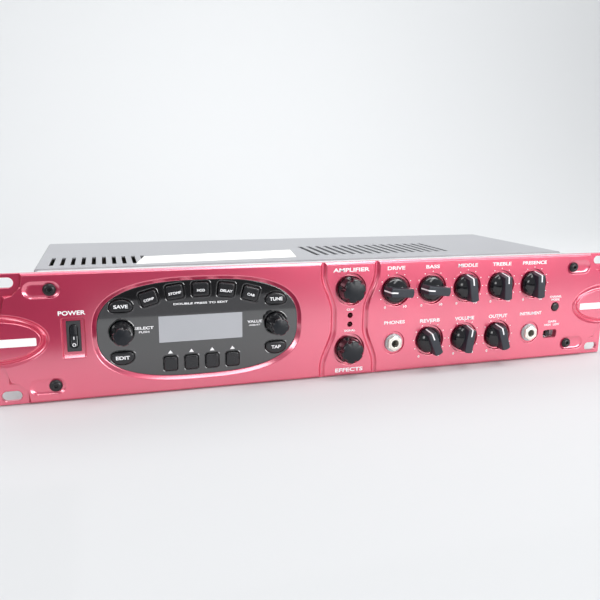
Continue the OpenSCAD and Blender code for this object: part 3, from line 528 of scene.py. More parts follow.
def fit(piece, material, body=home, replaces=(), angle=32):
    assign(dressed(piece, material, angle), body, replaces)


def joined(name, pieces):
    # several objects' meshes as one object; each keeps its own materials
    bm = bmesh.new()
    materials = []
    for piece in pieces:
        mesh = piece.data
        offset = len(materials)
        materials.extend(mesh.materials)
        for polygon in mesh.polygons:
            polygon.material_index += offset
        bm.from_mesh(mesh)
        bpy.data.objects.remove(piece)
    mesh = bpy.data.meshes.new(name)
    bm.to_mesh(mesh)
    bm.free()
    for material in materials:
        mesh.materials.append(material)
    return linked(name, mesh)


def sunk(outline, front, profile):
    # rings of a pocket: outline(offset) at each (offset, depth) behind the front
    return [(outline(offset), front + depth) for offset, depth in profile]


def lipped(depth, lip=0.35, taper=0.15, through=None):
    # a pocket's wall with a small rolled lip; through is (offset, depth) of a hole in its floor
    profile = [(lip, -1.0), (lip, 0.0), (0.5 * lip, 0.1 * lip), (0.13 * lip, 0.45 * lip), (0.0, lip),
               (-taper, depth - 0.25), (-taper - 0.25, depth)]
    if through:
        profile += [(through[0], depth), through]
    return profile


def axisOf(body):
    place = jointOf[body]["pos_m"]
    return place[0] / mm, place[2] / mm


def middleOf(node):
    low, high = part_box(node)
    centre = (low + high) / 2 / mm
    return centre.x, centre.z


# ---------- front panel

panel = {
    "width": 482.6, "height": 88.0, "front": -5.0, "earFront": -3.0, "cut": 6.0,
    "earStrip": 7.8, "padWidth": 19.0, "padHeight": 14.2, "padCorner": 5.0, "edgeBevel": 1.5,
    "slotX": 232.55, "slotZ": 38.1, "slotLength": 12.5, "slotHeight": 6.8,
    "ovalA": 34.0, "ovalB": 17.8, "barX": 227.5, "barZ": -1.4, "barWidth": 25.0, "barHeight": 5.4,
    "grooveX": 4.6, "grooveWaist": 12.7, "grooveSwell": 8.6, "grooveSteps": 72,
    "dimpleX": 209.8, "dimpleZ": 32.8, "dimpleLength": 23.0, "dimpleWidth": 11.4, "dimpleDepth": 1.2,
    "screwX": 205.0,
    "dishRadius": 12.2, "potDish": 2.1, "selectorDish": 2.4, "bushHole": 3.8,
    "jackX": (42.0, 166.0), "jackZ": -20.7, "jackDish": 9.0, "jackDepth": 1.0, "jackHole": 4.7,
    "ledX": 5.0, "ledZ": 3.5, "ledHole": 2.05,
    "slideX": 187.0, "slideZ": -23.3, "slideWidth": 13.0, "slideHeight": 6.5,
    "roundKeyX": 189.5, "roundKeyRadius": 3.3,
    "switchX": -191.8, "switchZ": 0.3,
    # the power switch's frame: width, height, corner, shift upwards, depth
    "switchFrame": [(15.6, 28.4, 1.6, -0.9, -1.0), (15.6, 28.4, 1.6, -0.9, 0.0),
                    (14.9, 27.5, 1.3, -0.7, 0.25), (13.9, 25.4, 0.8, 0.0, 1.85), (13.6, 25.0, 0.7, 0.0, 2.0),
                    (9.2, 21.3, 0.3, 0.0, 2.0), (9.2, 21.3, 0.3, 0.0, 6.0)],
}
window = {"x": -106.8, "z": 1.0, "a": 70.5, "b": 34.1, "power": 2.7, "front": -3.0, "back": -1.0}
pots = ["drive_knob", "bass_knob", "middle_knob", "treble_knob", "presence_knob",
        "reverb_knob", "volume_knob", "output_knob"]
largeSelectors = ["model_knob", "effects_knob"]
smallSelectors = ["select_knob", "value_knob"]


def raisedOutline():
    # one quarter, from the ear's middle to the top middle, then mirrored three times
    halfW, halfH = panel["width"] / 2, panel["height"] / 2
    side, a, b = halfW - panel["earStrip"], panel["ovalA"], panel["ovalB"]
    padX, padZ, r = halfW - panel["padWidth"], halfH - panel["padHeight"], panel["padCorner"]
    quarter = []
    for i in range(5):
        x = halfW - panel["earStrip"] * i / 4
        quarter.append((x, b * math.sqrt(1 - ((halfW - x) / a) ** 2)))
    quarter.append((side, padZ))
    for i in range(9):
        t = math.radians(90 * i / 8)
        quarter.append((padX + r - r * math.sin(t), padZ + r - r * math.cos(t)))
    quarter.append((padX, halfH))
    top = [(-x, z) for x, z in reversed(quarter)]
    upper = quarter + top
    return upper + [(-x, -z) for x, z in upper]


def rawPanel():
    bm = bmesh.new()
    rings = loft(bm, [(raisedOutline(), panel["front"]), (raisedOutline(), -1.5)])
    rim = {bm.edges.get(pair) for pair in zip(rings[0], rings[0][1:] + rings[0][:1])}
    bmesh.ops.bevel(bm, geom=list(rim), offset=panel["edgeBevel"] * mm, segments=1, affect="EDGES")
    slab = soften(objectFrom(bm, "front_plate"), 0.3, 30)

    def outline(inset):
        return roundRect(panel["width"] - inset, panel["height"] - inset, 1.2)

    ears = lofted("ears", [(outline(0.5), panel["earFront"]), (outline(0.0), panel["earFront"] + 0.25),
                           (outline(0.0), -0.25), (outline(0.5), 0.0)])
    return combine(slab, ears, "UNION")


def grooveReach(z):
    t = min(1.0, max(0.0, (abs(z) - 6) / 30))
    return panel["grooveWaist"] + panel["grooveSwell"] * t * t * (3 - 2 * t)


def addGroove(bm, side):
    # a rounded channel swept along the hourglass curve, past both edges
    section = [(-2.7, -1.0), (-2.7, 0.0), (-2.4, 0.06), (-2.05, 0.3), (-1.5, 1.1), (-0.9, 1.65), (0.0, 1.8),
               (0.9, 1.65), (1.5, 1.1), (2.05, 0.3), (2.4, 0.06), (2.7, 0.0), (2.7, -1.0)]
    steps, half = panel["grooveSteps"], panel["height"] / 2 + 1
    rows = []
    for i in range(steps + 1):
        z = -half + 2 * half * i / steps
        slope = side * (grooveReach(z + 0.1) - grooveReach(z - 0.1)) / 0.2
        nx, nz = 1 / math.hypot(1, slope), -slope / math.hypot(1, slope)
        x = panel["grooveX"] + side * grooveReach(z)
        rows.append([bm.verts.new(((x + nx * w) * mm, (panel["front"] + d) * mm, (z + nz * w) * mm))
                     for w, d in section])
    skin(bm, rows)


def addEarOval(bm, side):
    # two ring grooves with a ridge between them, round a low plateau
    section = [(0.6, -1.0), (0.6, 0.0), (0.2, 0.08), (-0.3, 0.6), (-0.9, 1.3), (-1.7, 1.5), (-2.3, 1.05),
               (-2.7, 0.65), (-3.1, 0.65), (-3.4, 1.0), (-3.8, 1.45), (-4.2, 1.4), (-4.7, 0.5), (-5.05, 0.08),
               (-5.4, 0.0), (-5.4, -1.0)]
    cx = side * panel["width"] / 2
    loft(bm, [(fullOval(panel["ovalA"] + o, panel["ovalB"] + o, 2.0, cx, 0), panel["front"] + d)
              for o, d in section], looped=True)


def lensOval(grow):
    return fullOval(window["a"] + grow, window["b"] + grow, window["power"], window["x"], window["z"])


def cutControls(bm):
    front, cut = panel["front"], panel["cut"]
    for names, depth in ((pots, panel["potDish"]), (largeSelectors, panel["selectorDish"])):
        for name in names:
            x, z = axisOf(name)
            loft(bm, sunk(lambda o: circle(panel["dishRadius"] + o, x, z), front,
                          lipped(depth, through=(panel["bushHole"] - panel["dishRadius"], cut))))
    for x in panel["jackX"]:
        loft(bm, sunk(lambda o: circle(panel["jackDish"] + o, x, panel["jackZ"]), front,
                      lipped(panel["jackDepth"], 0.3, 0.1, (panel["jackHole"] - panel["jackDish"], cut))))


def cutCorner(bm, sx, sz):
    # a scooped dimple for the screw, then the rack slot
    def scoop(o):
        return stadium(panel["dimpleLength"] + 2 * o, panel["dimpleWidth"] + 1.7 * o,
                       sx * panel["dimpleX"], sz * panel["dimpleZ"] + 0.3 * min(0.0, o))

    def slot(o):
        return stadium(panel["slotLength"] + 2 * o, panel["slotHeight"] + 2 * o,
                       sx * panel["slotX"], sz * panel["slotZ"])

    loft(bm, sunk(scoop, panel["front"], [(0.3, -1.0), (0.3, 0.0), (0.0, 0.06), (-0.5, 0.32), (-1.3, 0.78),
                                          (-2.4, 1.08), (-3.8, 1.19), (-5.2, panel["dimpleDepth"])]))
    loft(bm, sunk(slot, panel["earFront"], [(0.4, -3.0), (0.4, 0.0), (0.0, 0.4), (0.0, 4.0)]))


def panelCutter():
    bm = bmesh.new()
    front, cut = panel["front"], panel["cut"]
    # display recess: rolled lip, long slope, seat for the lens and its ledge
    loft(bm, sunk(lensOval, front, [
        (3.4, -1.0), (3.4, 0.0), (3.0, 0.05), (2.75, 0.17), (2.55, 0.32), (0.7, 2.05), (0.2, 2.2),
        (0.12, 2.35), (0.12, 4.0), (-1.0, 4.0), (-1.0, cut)]))
    for side in (-1, 1):
        addGroove(bm, side)
        addEarOval(bm, side)
    cutControls(bm)
    for sx in (-1, 1):
        for sz in (-1, 1):
            cutCorner(bm, sx, sz)
    for sz in (-1, 1):
        loft(bm, sunk(lambda o: circle(panel["ledHole"] + o, panel["ledX"], sz * panel["ledZ"], 32), front,
                      [(0.12, -1.0), (0.12, 0.0), (0.0, 0.12), (0.0, cut)]))
    loft(bm, sunk(lambda o: circle(panel["roundKeyRadius"] + 0.4 + o, panel["roundKeyX"], 0, 32), front,
                  [(0.3, -1.0), (0.3, 0.0), (0.0, 0.3), (0.0, cut)]))
    loft(bm, sunk(lambda o: roundRect(panel["slideWidth"] + 2 * o, panel["slideHeight"] + 2 * o, 1.5 + o,
                                      panel["slideX"], panel["slideZ"]), front,
                  [(0.4, -1.0), (0.4, 0.0), (0.0, 0.4), (0.0, cut)]))
    # power switch: sloped frame, its lower slope longer, then the hole for the body
    loft(bm, [(roundRect(width, height, corner, panel["switchX"], panel["switchZ"] + shift), front + depth)
              for width, height, corner, shift, depth in panel["switchFrame"]])
    return objectFrom(bm, "panel_cutter")


def buildPanel():
    plate = combine(rawPanel(), panelCutter())
    plate.name = "panel_sculpted"
    fit(plate, "panelRed", replaces=["front_panel"], angle=40)
    holdFlats(plate)
    print("front panel:", len(plate.data.polygons), "faces")


buildPanel()

# ---------- display window, its keys and small selectors

keys = {
    "sideA": 8.0, "sideB": 5.8, "notch": 2.0, "sideX": 54.2, "sideZ": 17.3,
    "arcWidth": 12.2, "arcHeight": 10.6, "arcRadius": 133.0, "arcTop": 27.6, "arcStep": 7.75,
    "softSize": 10.0, "softHeight": 10.6, "softPitch": 14.7, "softZ": -24.8,
    "corner": 2.0, "gap": 0.4, "front": -4.4, "flange": 0.9, "sideFlange": 0.45,
}
sideKeys = {"save_button": (-1, 1), "edit_button": (-1, -1), "tune_button": (1, 1), "tap_button": (1, -1)}
arcKeys = ["comp_button", "stomp_button", "mod_button", "delay_button", "cab_button"]
softKeys = ["soft_key_1", "soft_key_2", "soft_key_3", "soft_key_4"]


def arcPlace(i):
    angle = math.radians((i - 2) * keys["arcStep"])
    return (window["x"] + keys["arcRadius"] * math.sin(angle),
            window["z"] + keys["arcTop"] - keys["arcRadius"] * (1 - math.cos(angle)))


def sidePlace(name, outwards=0.0):
    sx, sz = sideKeys[name]
    return window["x"] + sx * keys["sideX"], window["z"] + sz * (keys["sideZ"] + outwards)


def keyOutline(name, grow):
    # the seat of each key in the lens, grown or shrunk
    corner = max(0.3, keys["corner"] + grow)
    if name in sideKeys:
        return curvedKey(keys["sideA"] + grow, keys["sideB"] + grow, keys["notch"],
                         *sidePlace(name), sideKeys[name][1])
    if name in arcKeys:
        i = arcKeys.index(name)
        flat = roundRect(keys["arcWidth"] + 2 * grow, keys["arcHeight"] + 2 * grow, corner)
        return turned(flat, (i - 2) * keys["arcStep"], *arcPlace(i))
    i = softKeys.index(name)
    return roundRect(keys["softSize"] + 2 * grow, keys["softHeight"] + 2 * grow, corner,
                     window["x"] + (i - 1.5) * keys["softPitch"], window["z"] + keys["softZ"])


allKeys = list(sideKeys) + arcKeys + softKeys


def cutLens():
    bm = bmesh.new()
    low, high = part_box("lcd_window")
    pane = roundRect((high.x - low.x) / mm, (high.z - low.z) / mm, 0.3, window["x"], window["z"])
    loft(bm, [(pane, -4.0), (pane, 0.0)])
    for name in allKeys:
        loft(bm, [(keyOutline(name, 0.25), -4.0), (keyOutline(name, 0.25), window["front"]),
                  (keyOutline(name, 0.0), window["front"] + 0.3), (keyOutline(name, 0.0), 0.0)])
    for name in smallSelectors:
        lathe(bm, [(8.5, -4.0), (8.5, -3.0), (8.2, -2.7), (8.2, 0.0)], *axisOf(name))
    return objectFrom(bm, "lens_cutter")


def lensBeads():
    # a fine raised bead round every key's seat
    bm = bmesh.new()
    for name in allKeys:
        near, far = (0.7, 1.3) if name in arcKeys else (0.35, 0.9)
        section = [(near, -2.9), (near + 0.08, -3.14), ((near + far) / 2, -3.22), (far - 0.08, -3.14),
                   (far, -2.9)]
        loft(bm, [(keyOutline(name, grow), y) for grow, y in section], looped=True)
    for name in smallSelectors:
        tube(bm, [(8.6, -2.9), (8.66, -3.12), (8.9, -3.2), (9.14, -3.12), (9.2, -2.9)], *axisOf(name), 64)
    return objectFrom(bm, "beads")


def buildLens():
    front = window["front"]
    lens = lofted("lens_plate", [(lensOval(-0.35), front), (lensOval(-0.1), front + 0.1),
                                 (lensOval(0.0), front + 0.35), (lensOval(0.0), window["back"])])
    combine(lens, cutLens())
    combine(lens, lensBeads(), "UNION")
    lens.name = "lens_gloss"
    fit(lens, "lensBlack", replaces=["bezel_lens"])
    holdFlats(lens)


def buildKey(name):
    # a cap with a rolled edge and a flange behind the lens, and its plunger
    gap, front = keys["gap"], keys["front"]
    flange = keys["sideFlange"] if name in sideKeys else keys["flange"]
    section = [(-1.5, front), (-0.75, front + 0.04), (-0.3, front + 0.22), (-0.08, front + 0.5),
               (0.0, front + 0.9), (0.0, -0.85), (flange, -0.85), (flange, 0.25)]
    bm = bmesh.new()
    loft(bm, [(keyOutline(name, grow - gap), y) for grow, y in section])
    x, z = sidePlace(name) if name in sideKeys else middleOf(name)
    lathe(bm, [(1.75, 0.2), (1.75, 5.0), (1.5, 5.25)], x, z, 24)
    fit(objectFrom(bm, name + "_cap"), "keyBlack", body=name, replaces=[name])


buildLens()
for keyName in allKeys:
    buildKey(keyName)
print("display window and keys made")

# ---------- knobs

shaft = {"hole": 3.05, "radius": 3.0, "chamfer": 0.3, "mouth": 2.2, "cover": 1.8}
toneKnob = {
    "base": -3.9, "top": -15.8, "skirt": 10.5, "gripHalf": 3.4, "pointer": 10.5, "pointerTop": 8.7,
    "tail": 10.4, "lineWidth": 1.05, "lineEnd": 3.1, "hub": 6.6, "shaftBack": 8.1, "halfSweep": 150,
    # each skirt point: how far in from the rim, and its height
    "dome": [(0.3, 0.0), (0.0, 0.25), (0.0, 1.3), (0.15, 1.75), (0.55, 2.7), (1.25, 3.9), (2.3, 5.1),
             (3.7, 6.2), (5.5, 7.1), (7.6, 7.7), (9.4, 7.95)],
}


def bore(height, hub=None):
    # the shaft's hole, with a wide mouth where the knob has a hub
    hole, mouth = shaft["hole"], shaft["mouth"]
    start = [(hub, 0.5), (hub, -mouth), (hole, -mouth)] if hub else [(hole, 0.5)]
    return lathed("bore", start + [(hole, -(height - shaft["cover"]))], count=40)


def gripRing(bm, h, inset, pointer):
    # plan of the grip at height h: straight sides, both ends slightly crowned
    half = toneKnob["gripHalf"] + 0.12 * (1 - h / 12) - inset
    tail = toneKnob["tail"] - inset
    points = []
    for i in range(7):
        w = half * (1 - 2 * i / 6)
        points.append((w, pointer - inset - 0.55 * (w / half) ** 2))
    for i in range(7):
        w = half * (-1 + 2 * i / 6)
        points.append((w, -tail + 0.75 * (w / half) ** 2))
    return [bm.verts.new((w * mm, -h * mm, u * mm)) for w, u in points]


def toneSkirt(height):
    skirt = lathed("skirt", [(toneKnob["skirt"] - inset, -h) for inset, h in toneKnob["dome"]], count=72)
    return combine(skirt, bore(height, toneKnob["hub"]))


def toneGrip(height):
    levels = [(1.0, 0.0), (height - 0.75, 0.0), (height - 0.3, 0.1), (height - 0.08, 0.32), (height, 0.65)]
    bm = bmesh.new()
    rings = []
    for h, inset in levels:
        share = (h - 1.0) / (height - 1.0)
        pointer = toneKnob["pointer"] + (toneKnob["pointerTop"] - toneKnob["pointer"]) * share
        rings.append(gripRing(bm, h, inset, pointer))
    skin(bm, rings)
    return combine(objectFrom(bm, "grip"), bore(height))


def pointerLine(height):
    # thin inlay from the skirt's edge up the end face and along the top
    half, lift = toneKnob["lineWidth"] / 2, 0.07
    end = toneKnob["pointerTop"]
    path = [(toneKnob["pointer"] - 0.1, 2.6), (end + 0.1, height - 0.8), (end - 0.03, height - 0.3),
            (end - 0.26, height - 0.05), (end - 0.65, height + 0.02), (toneKnob["lineEnd"], height)]
    bm = bmesh.new()
    rows = []
    for i, (u, h) in enumerate(path):
        before, after = Vector(path[max(0, i - 1)]), Vector(path[min(len(path) - 1, i + 1)])
        along = (after - before).normalized()
        out = Vector((along.y, -along.x))
        if out.x + out.y < 0:
            out = -out
        rows.append([bm.verts.new((w * mm, -(h + out.y * d) * mm, (u + out.x * d) * mm))
                     for w, d in ((-half, lift), (half, lift), (half, -0.25), (-half, -0.25))])
    skin(bm, rows)
    return objectFrom(bm, "line")


def shaftStub(spec):
    # steel shaft inside a knob, from under its top to the control's body
    radius, chamfer = shaft["radius"], shaft["chamfer"]
    end = -(spec["base"] - spec["top"]) + 2.0
    profile = [(radius - chamfer, end), (radius, end + chamfer), (radius, spec["shaftBack"] - spec["base"])]
    return dressed(lathed("shaft", profile, count=32), "controlMetal")


def placeKnob(name, parts, spec, angle):
    x, z = axisOf(name)
    whole = joined(name + "_turned", parts + [shaftStub(spec)])
    whole.data.transform(Matrix.Translation((x * mm, spec["base"] * mm, z * mm))
                         @ Matrix.Rotation(math.radians(angle), 4, "Y"))
    assign(whole, name, [name])


def buildToneKnobs():
    height = toneKnob["base"] - toneKnob["top"]
    for name in pots:
        parts = [dressed(toneSkirt(height), "knobGloss"), dressed(toneGrip(height), "knobSatin"),
                 dressed(pointerLine(height), "printWhite", 60)]
        placeKnob(name, parts, toneKnob, -toneKnob["halfSweep"] - jointOf[name]["range_deg"][0])


def notched(radius, depth, count, segments=144):
    # a circle with narrow round finger notches
    points = []
    half = math.radians(12)
    for i in range(segments):
        t = 2 * math.pi * i / segments
        away = abs((t + math.pi / count) % (2 * math.pi / count) - math.pi / count)
        r = radius - depth * max(0.0, 1 - (away / half) ** 2) ** 0.75
        points.append((r * math.sin(t), r * math.cos(t)))
    return points


def buildSelector(name, spec):
    count, scallop, cap, rise = spec["count"], spec["scallop"], spec["cap"], spec["rise"]
    height = spec["base"] - spec["top"]
    body = lofted("body", [(notched(r, scallop * share, count), -h) for r, h, share in spec["rings"]])
    combine(body, bore(height, spec["hub"]))
    # satin domed cap let into the top
    rings = [(notched(cap, scallop * 0.5, count), -(height - rise - 0.4))]
    for i in range(8):
        share = i / 7
        rings.append((notched(max(0.1, cap * (1 - 0.985 * share)), scallop * 0.5 * (1 - share) ** 3, count),
                      -(height - rise * (1 - share) ** 2)))
    parts = [dressed(body, "knobGloss"), dressed(lofted("cap", rings), "capSatin")]
    placeKnob(name, parts, spec, spec["angle"])


# each selector's rings: radius, height, and how much of the notches' depth is there
largeSelector = {
    "base": -3.4, "top": -14.5, "scallop": 1.7, "count": 6, "cap": 8.0, "rise": 0.9, "hub": 6.6,
    "shaftBack": 8.1, "angle": 42,
    "rings": [(10.2, 0.0, 0), (10.5, 0.25, 0), (10.5, 1.5, 0), (10.4, 2.3, 0), (10.2, 3.2, 0.1),
              (9.9, 4.2, 0.5), (9.6, 5.4, 0.9), (9.2, 8.0, 1), (8.95, 9.0, 0.85), (8.5, 9.8, 0.65),
              (8.0, 10.2, 0.5)],
}
smallSelector = {
    "base": -2.0, "top": -18.5, "scallop": 0.9, "count": 6, "cap": 5.5, "rise": 0.6, "hub": 5.0,
    "shaftBack": 6.1, "angle": 12,
    "rings": [(7.4, 0.0, 0), (7.7, 0.3, 0), (7.7, 1.8, 0), (7.4, 2.6, 0), (7.1, 4.0, 0.2), (6.9, 5.6, 0.5),
              (6.55, 13.4, 0.9), (6.4, 14.7, 1), (6.05, 15.5, 0.7), (5.5, 15.9, 0.5)],
}

buildToneKnobs()
for selectorName in largeSelectors:
    buildSelector(selectorName, largeSelector)
for selectorName in smallSelectors:
    buildSelector(selectorName, smallSelector)
print("knobs made")

# ---------- pieces that repeat, grown by geometry nodes


def geometryTree(name, inputs):
    return nodeTree("GeometryNodeTree", name, [("Geometry", "Geometry"), *inputs], [("Geometry", "Geometry")])


def grown(tree, mesh, name, **values):
    # runs a tree on a mesh and keeps the result as a plain mesh
    carrier = linked(name, mesh)
    modifier = carrier.modifiers.new("grow", "NODES")
    modifier.node_group = tree
    for item in tree.interface.items_tree:
        if item.item_type == "SOCKET" and item.in_out == "INPUT" and item.name in values:
            modifier[item.identifier] = values[item.name]
    return settle(carrier)


def pointMesh(points):
    mesh = bpy.data.meshes.new("points")
    mesh.from_pydata([tuple(c * mm for c in point) for point in points], [], [])
    return mesh


def finishTree(tree, given, result, geometry):
    # every tree ends the same way: instances made real, then the material
    real = addNode(tree, "GeometryNodeRealizeInstances", {"Geometry": geometry})
    paint = addNode(tree, "GeometryNodeSetMaterial",
                    {"Geometry": real.outputs["Geometry"], "Material": given["Material"]})
    tree.links.new(paint.outputs["Geometry"], result["Geometry"])
    return tree


def instances(tree, points, instance, **more):
    return addNode(tree, "GeometryNodeInstanceOnPoints",
                   {"Points": points, "Instance": instance, **more}).outputs["Instances"]


def fastenerTree():
    # one fastener, copied to each point
    tree, given, result = geometryTree("fastenerRow", [("Fastener", "Object"), ("Material", "Material")])
    fastener = addNode(tree, "GeometryNodeObjectInfo", {"Object": given["Fastener"]})
    points = addNode(tree, "GeometryNodeMeshToPoints", {"Mesh": given["Geometry"]})
    row = instances(tree, points.outputs["Points"], fastener.outputs["Geometry"])
    return finishTree(tree, given, result, row)


def dialTree():
    # an arc of dots round each point
    tree, given, result = geometryTree("dialDots", [
        ("Dots", "Int", 9), ("Radius", "Float", 0.0139), ("Sweep", "Float", 233.6),
        ("Dot Radius", "Float", 0.0004), ("Dot Height", "Float", 0.00006), ("Material", "Material")])

    def worked(operation, first, second=0.5):
        return addNode(tree, "ShaderNodeMath", {0: first, 1: second}, operation=operation).outputs["Value"]

    index = addNode(tree, "GeometryNodeInputIndex").outputs["Index"]
    share = worked("SUBTRACT", worked("DIVIDE", index, worked("SUBTRACT", given["Dots"], 1.0)), 0.5)
    angle = worked("RADIANS", worked("MULTIPLY", share, given["Sweep"]))
    spot = addNode(tree, "ShaderNodeCombineXYZ", {
        "X": worked("MULTIPLY", worked("SINE", angle), given["Radius"]),
        "Z": worked("MULTIPLY", worked("COSINE", angle), given["Radius"])})
    line = addNode(tree, "GeometryNodeMeshLine", {"Count": given["Dots"]})
    arc = addNode(tree, "GeometryNodeSetPosition",
                  {"Geometry": line.outputs["Mesh"], "Position": spot.outputs["Vector"]})
    dot = addNode(tree, "GeometryNodeMeshCylinder",
                  {"Vertices": 16, "Radius": given["Dot Radius"], "Depth": given["Dot Height"]})
    onArc = instances(tree, arc.outputs["Geometry"], dot.outputs["Mesh"], Rotation=(math.pi / 2, 0.0, 0.0))
    points = addNode(tree, "GeometryNodeMeshToPoints", {"Mesh": given["Geometry"]})
    return finishTree(tree, given, result, instances(tree, points.outputs["Points"], onArc))


def ventTree():
    # a row of slots cut through a sheet
    tree, given, result = geometryTree("ventRow", [
        ("Slots", "Int", 10), ("Pitch", "Float", 0.007), ("Start", "Vector", (0.0, 0.0, 0.0)),
        ("Slot Size", "Vector", (0.003, 0.038, 0.01)), ("Material", "Material")])
    step = addNode(tree, "ShaderNodeCombineXYZ", {"X": given["Pitch"]})
    line = addNode(tree, "GeometryNodeMeshLine", {
        "Count": given["Slots"], "Start Location": given["Start"], "Offset": step.outputs["Vector"]})
    slot = addNode(tree, "GeometryNodeMeshCube", {"Size": given["Slot Size"]})
    row = instances(tree, line.outputs["Mesh"], slot.outputs["Mesh"])
    cut = addNode(tree, "GeometryNodeMeshBoolean", {"Mesh 1": given["Geometry"], "Mesh 2": row},
                  operation="DIFFERENCE", solver="EXACT")
    return finishTree(tree, given, result, cut.outputs["Mesh"])


fastenerRow, dialDots, ventRow = fastenerTree(), dialTree(), ventTree()


def repeated(master, points, name, material):
    # the master fastener at every point, as one piece; the master itself goes
    row = grown(fastenerRow, pointMesh(points), name, Fastener=master, Material=finishes[material])
    bpy.data.objects.remove(master)
    return shade(row)


def hexagon(radius, count=48, corner=0.12):
    # points of a slightly rounded hexagon, evenly spaced in angle
    points = []
    for i in range(count):
        t = 2 * math.pi * i / count
        local = (t + math.pi / 6) % (math.pi / 3) - math.pi / 6
        flat = radius * math.cos(math.pi / 6) / math.cos(math.pi / 6 - abs(local))
        r = min(flat, radius * (1 - corner * 0.2))
        points.append((r * math.sin(t), r * math.cos(t)))
    return points


def panelScrew():
    # button head with a hexagon socket, then the threaded stem; its seat is at y = 0
    head = [(1.75, -2.2), (2.3, -2.18), (3.1, -1.9), (3.8, -1.35), (4.15, -0.7), (4.2, -0.25), (4.0, 0.0)]
    stem = [(1.9, 0.0)]
    for turn in range(12):
        stem += [(1.7, 0.6 + turn), (1.95, 1.1 + turn)]
    stem.append((1.6, 13.2))
    return lofted("screw_master", [(hexagon(1.5), -0.7), (hexagon(1.55), -2.08)]
                  + [(circle(radius, count=48), y) for radius, y in head + stem])


def buildPanelScrews():
    seat = panel["front"] + panel["dimpleDepth"]
    points = [(sx * panel["screwX"], seat, sz * panel["dimpleZ"]) for sx in (-1, 1) for sz in (-1, 1)]
    screws = repeated(panelScrew(), points, "button_head_screws", "blackSteel")
    assign(screws, home, ["panel_screws"])


def jackWasher():
    section = [(4.55, 0.0), (7.0, 0.0), (7.3, -0.25), (7.3, -0.9), (6.9, -1.5), (4.55, -1.5)]
    return lofted("washer_master", [(circle(radius, count=48), y) for radius, y in section], looped=True)


def jackNut():
    around = hexagon(6.3)
    return lofted("nut_master", [
        (circle(4.55, count=48), -1.45), (around, -1.45), (around, -3.65),
        ([(x * 0.97, z * 0.97) for x, z in around], -3.9), (circle(5.2, count=48), -4.0),
        (circle(4.6, count=48), -4.0), (circle(4.55, count=48), -3.9)], looped=True)


def buildJacks():
    seat = panel["front"] + panel["jackDepth"]
    points = [(x, seat, panel["jackZ"]) for x in panel["jackX"]]
    nuts = joined("jack_hex_nuts", [repeated(jackWasher(), points, "washers", "controlMetal"),
                                    repeated(jackNut(), points, "nuts", "brightNickel")])
    assign(nuts, home, ["jack_nuts"])
    # threaded bush with a bright rim round the plug's hole, on a black body
    bush = [(2.9, 3.0), (2.9, -7.9), (3.1, -8.15), (4.3, -8.15)]
    for turn in range(5):
        bush += [(4.5, -7.9 + 0.8 * turn), (4.25, -7.5 + 0.8 * turn)]
    bush += [(4.5, -4.0), (4.5, 3.0)]
    box = [(3.2, 2.0), (3.2, 24.0), (0.05, 24.0), (0.05, 25.6), (8.0, 25.6), (8.0, 1.6), (4.6, 1.6)]
    metal, plastic = bmesh.new(), bmesh.new()
    for x in panel["jackX"]:
        tube(metal, bush, x, panel["jackZ"])
        tube(plastic, box, x, panel["jackZ"], 4)
    whole = joined("jack_bushes", [dressed(objectFrom(metal, "rims"), "brightNickel"),
                                   dressed(objectFrom(plastic, "bodies"), "satinBlack")])
    assign(whole, home, ["jack_sockets"])


def buildDials():
    points = [(axisOf(name)[0], panel["front"] - 0.02, axisOf(name)[1]) for name in pots]
    dots = grown(dialDots, pointMesh(points), "dial_dots", Material=finishes["printWhite"])
    assign(shade(dots, 50), home)


buildPanelScrews()
buildJacks()
buildDials()
print("fasteners, jacks and dials made")

# ---------- switches

# rings of the power switch: width, height, corner, depth
switchBody = [(8.6, 20.7, 0.5, -3.6), (9.0, 21.1, 0.7, -3.35), (9.0, 21.1, 0.7, 10.3)]
switchCollar = [(12.0, 24.1, 0.5, 2.6), (12.0, 24.1, 0.5, 4.6)]
# its well: width, height, corner, and at each depth how much wider it is
switchWell = (5.4, 16.4, 2.7, [(-5.0, 0.4), (-3.6, 0.4), (-3.35, 0.05), (-2.8, 0.0), (8.0, 0.0)])
rocker = {
    "pivot": -1.6, "half": 2.3, "length": 7.8, "steps": 28, "waist": 2.1, "rise": 1.0, "deep": 3.5,
    "barZ": -1.4, "ringZ": -5.9,
}


def buildSwitchBody():
    x, z = panel["switchX"], panel["switchZ"]
    housing, collar = [
        lofted(name, [(roundRect(width, height, corner, x, z), y) for width, height, corner, y in rings])
        for name, rings in (("switch_body", switchBody), ("collar", switchCollar))]
    combine(housing, collar, "UNION")
    width, height, corner, levels = switchWell
    combine(housing, lofted("well", [
        (roundRect(width + 2 * grow, height + 2 * grow, corner + grow, x, z, steps=12), y)
        for y, grow in levels]))
    housing.name = "power_switch_body"
    fit(housing, "housingGrey", replaces=["power_switch_housing"])


def rockerBar():
    # two shallow flats meeting at the pivot, crowned across, with rounded ends
    half, length, steps = rocker["half"], rocker["length"], rocker["steps"]
    bm = bmesh.new()
    rows = []
    for i in range(steps + 1):
        u = -length + 2 * length * i / steps
        h = rocker["waist"] + rocker["rise"] * (abs(u) / length) ** 1.4
        near = 1 - (max(0.0, abs(u) - (length - half)) / half) ** 2
        w = half * math.sqrt(max(0.04, near))
        deep = 1.0 + rocker["deep"] * (1 - (abs(u) / length) ** 2)
        side = [(w * 0.7, -h - 0.02), (w - 0.12, -h + 0.2), (w, -h + 0.55), (w, deep)]
        section = [(-a, b) for a, b in reversed(side)] + [(0, -h - 0.1)] + side
        rows.append([bm.verts.new((a * mm, b * mm, u * mm)) for a, b in section])
    skin(bm, rows)
    return dressed(objectFrom(bm, "rocker"), "switchBlack", 40)


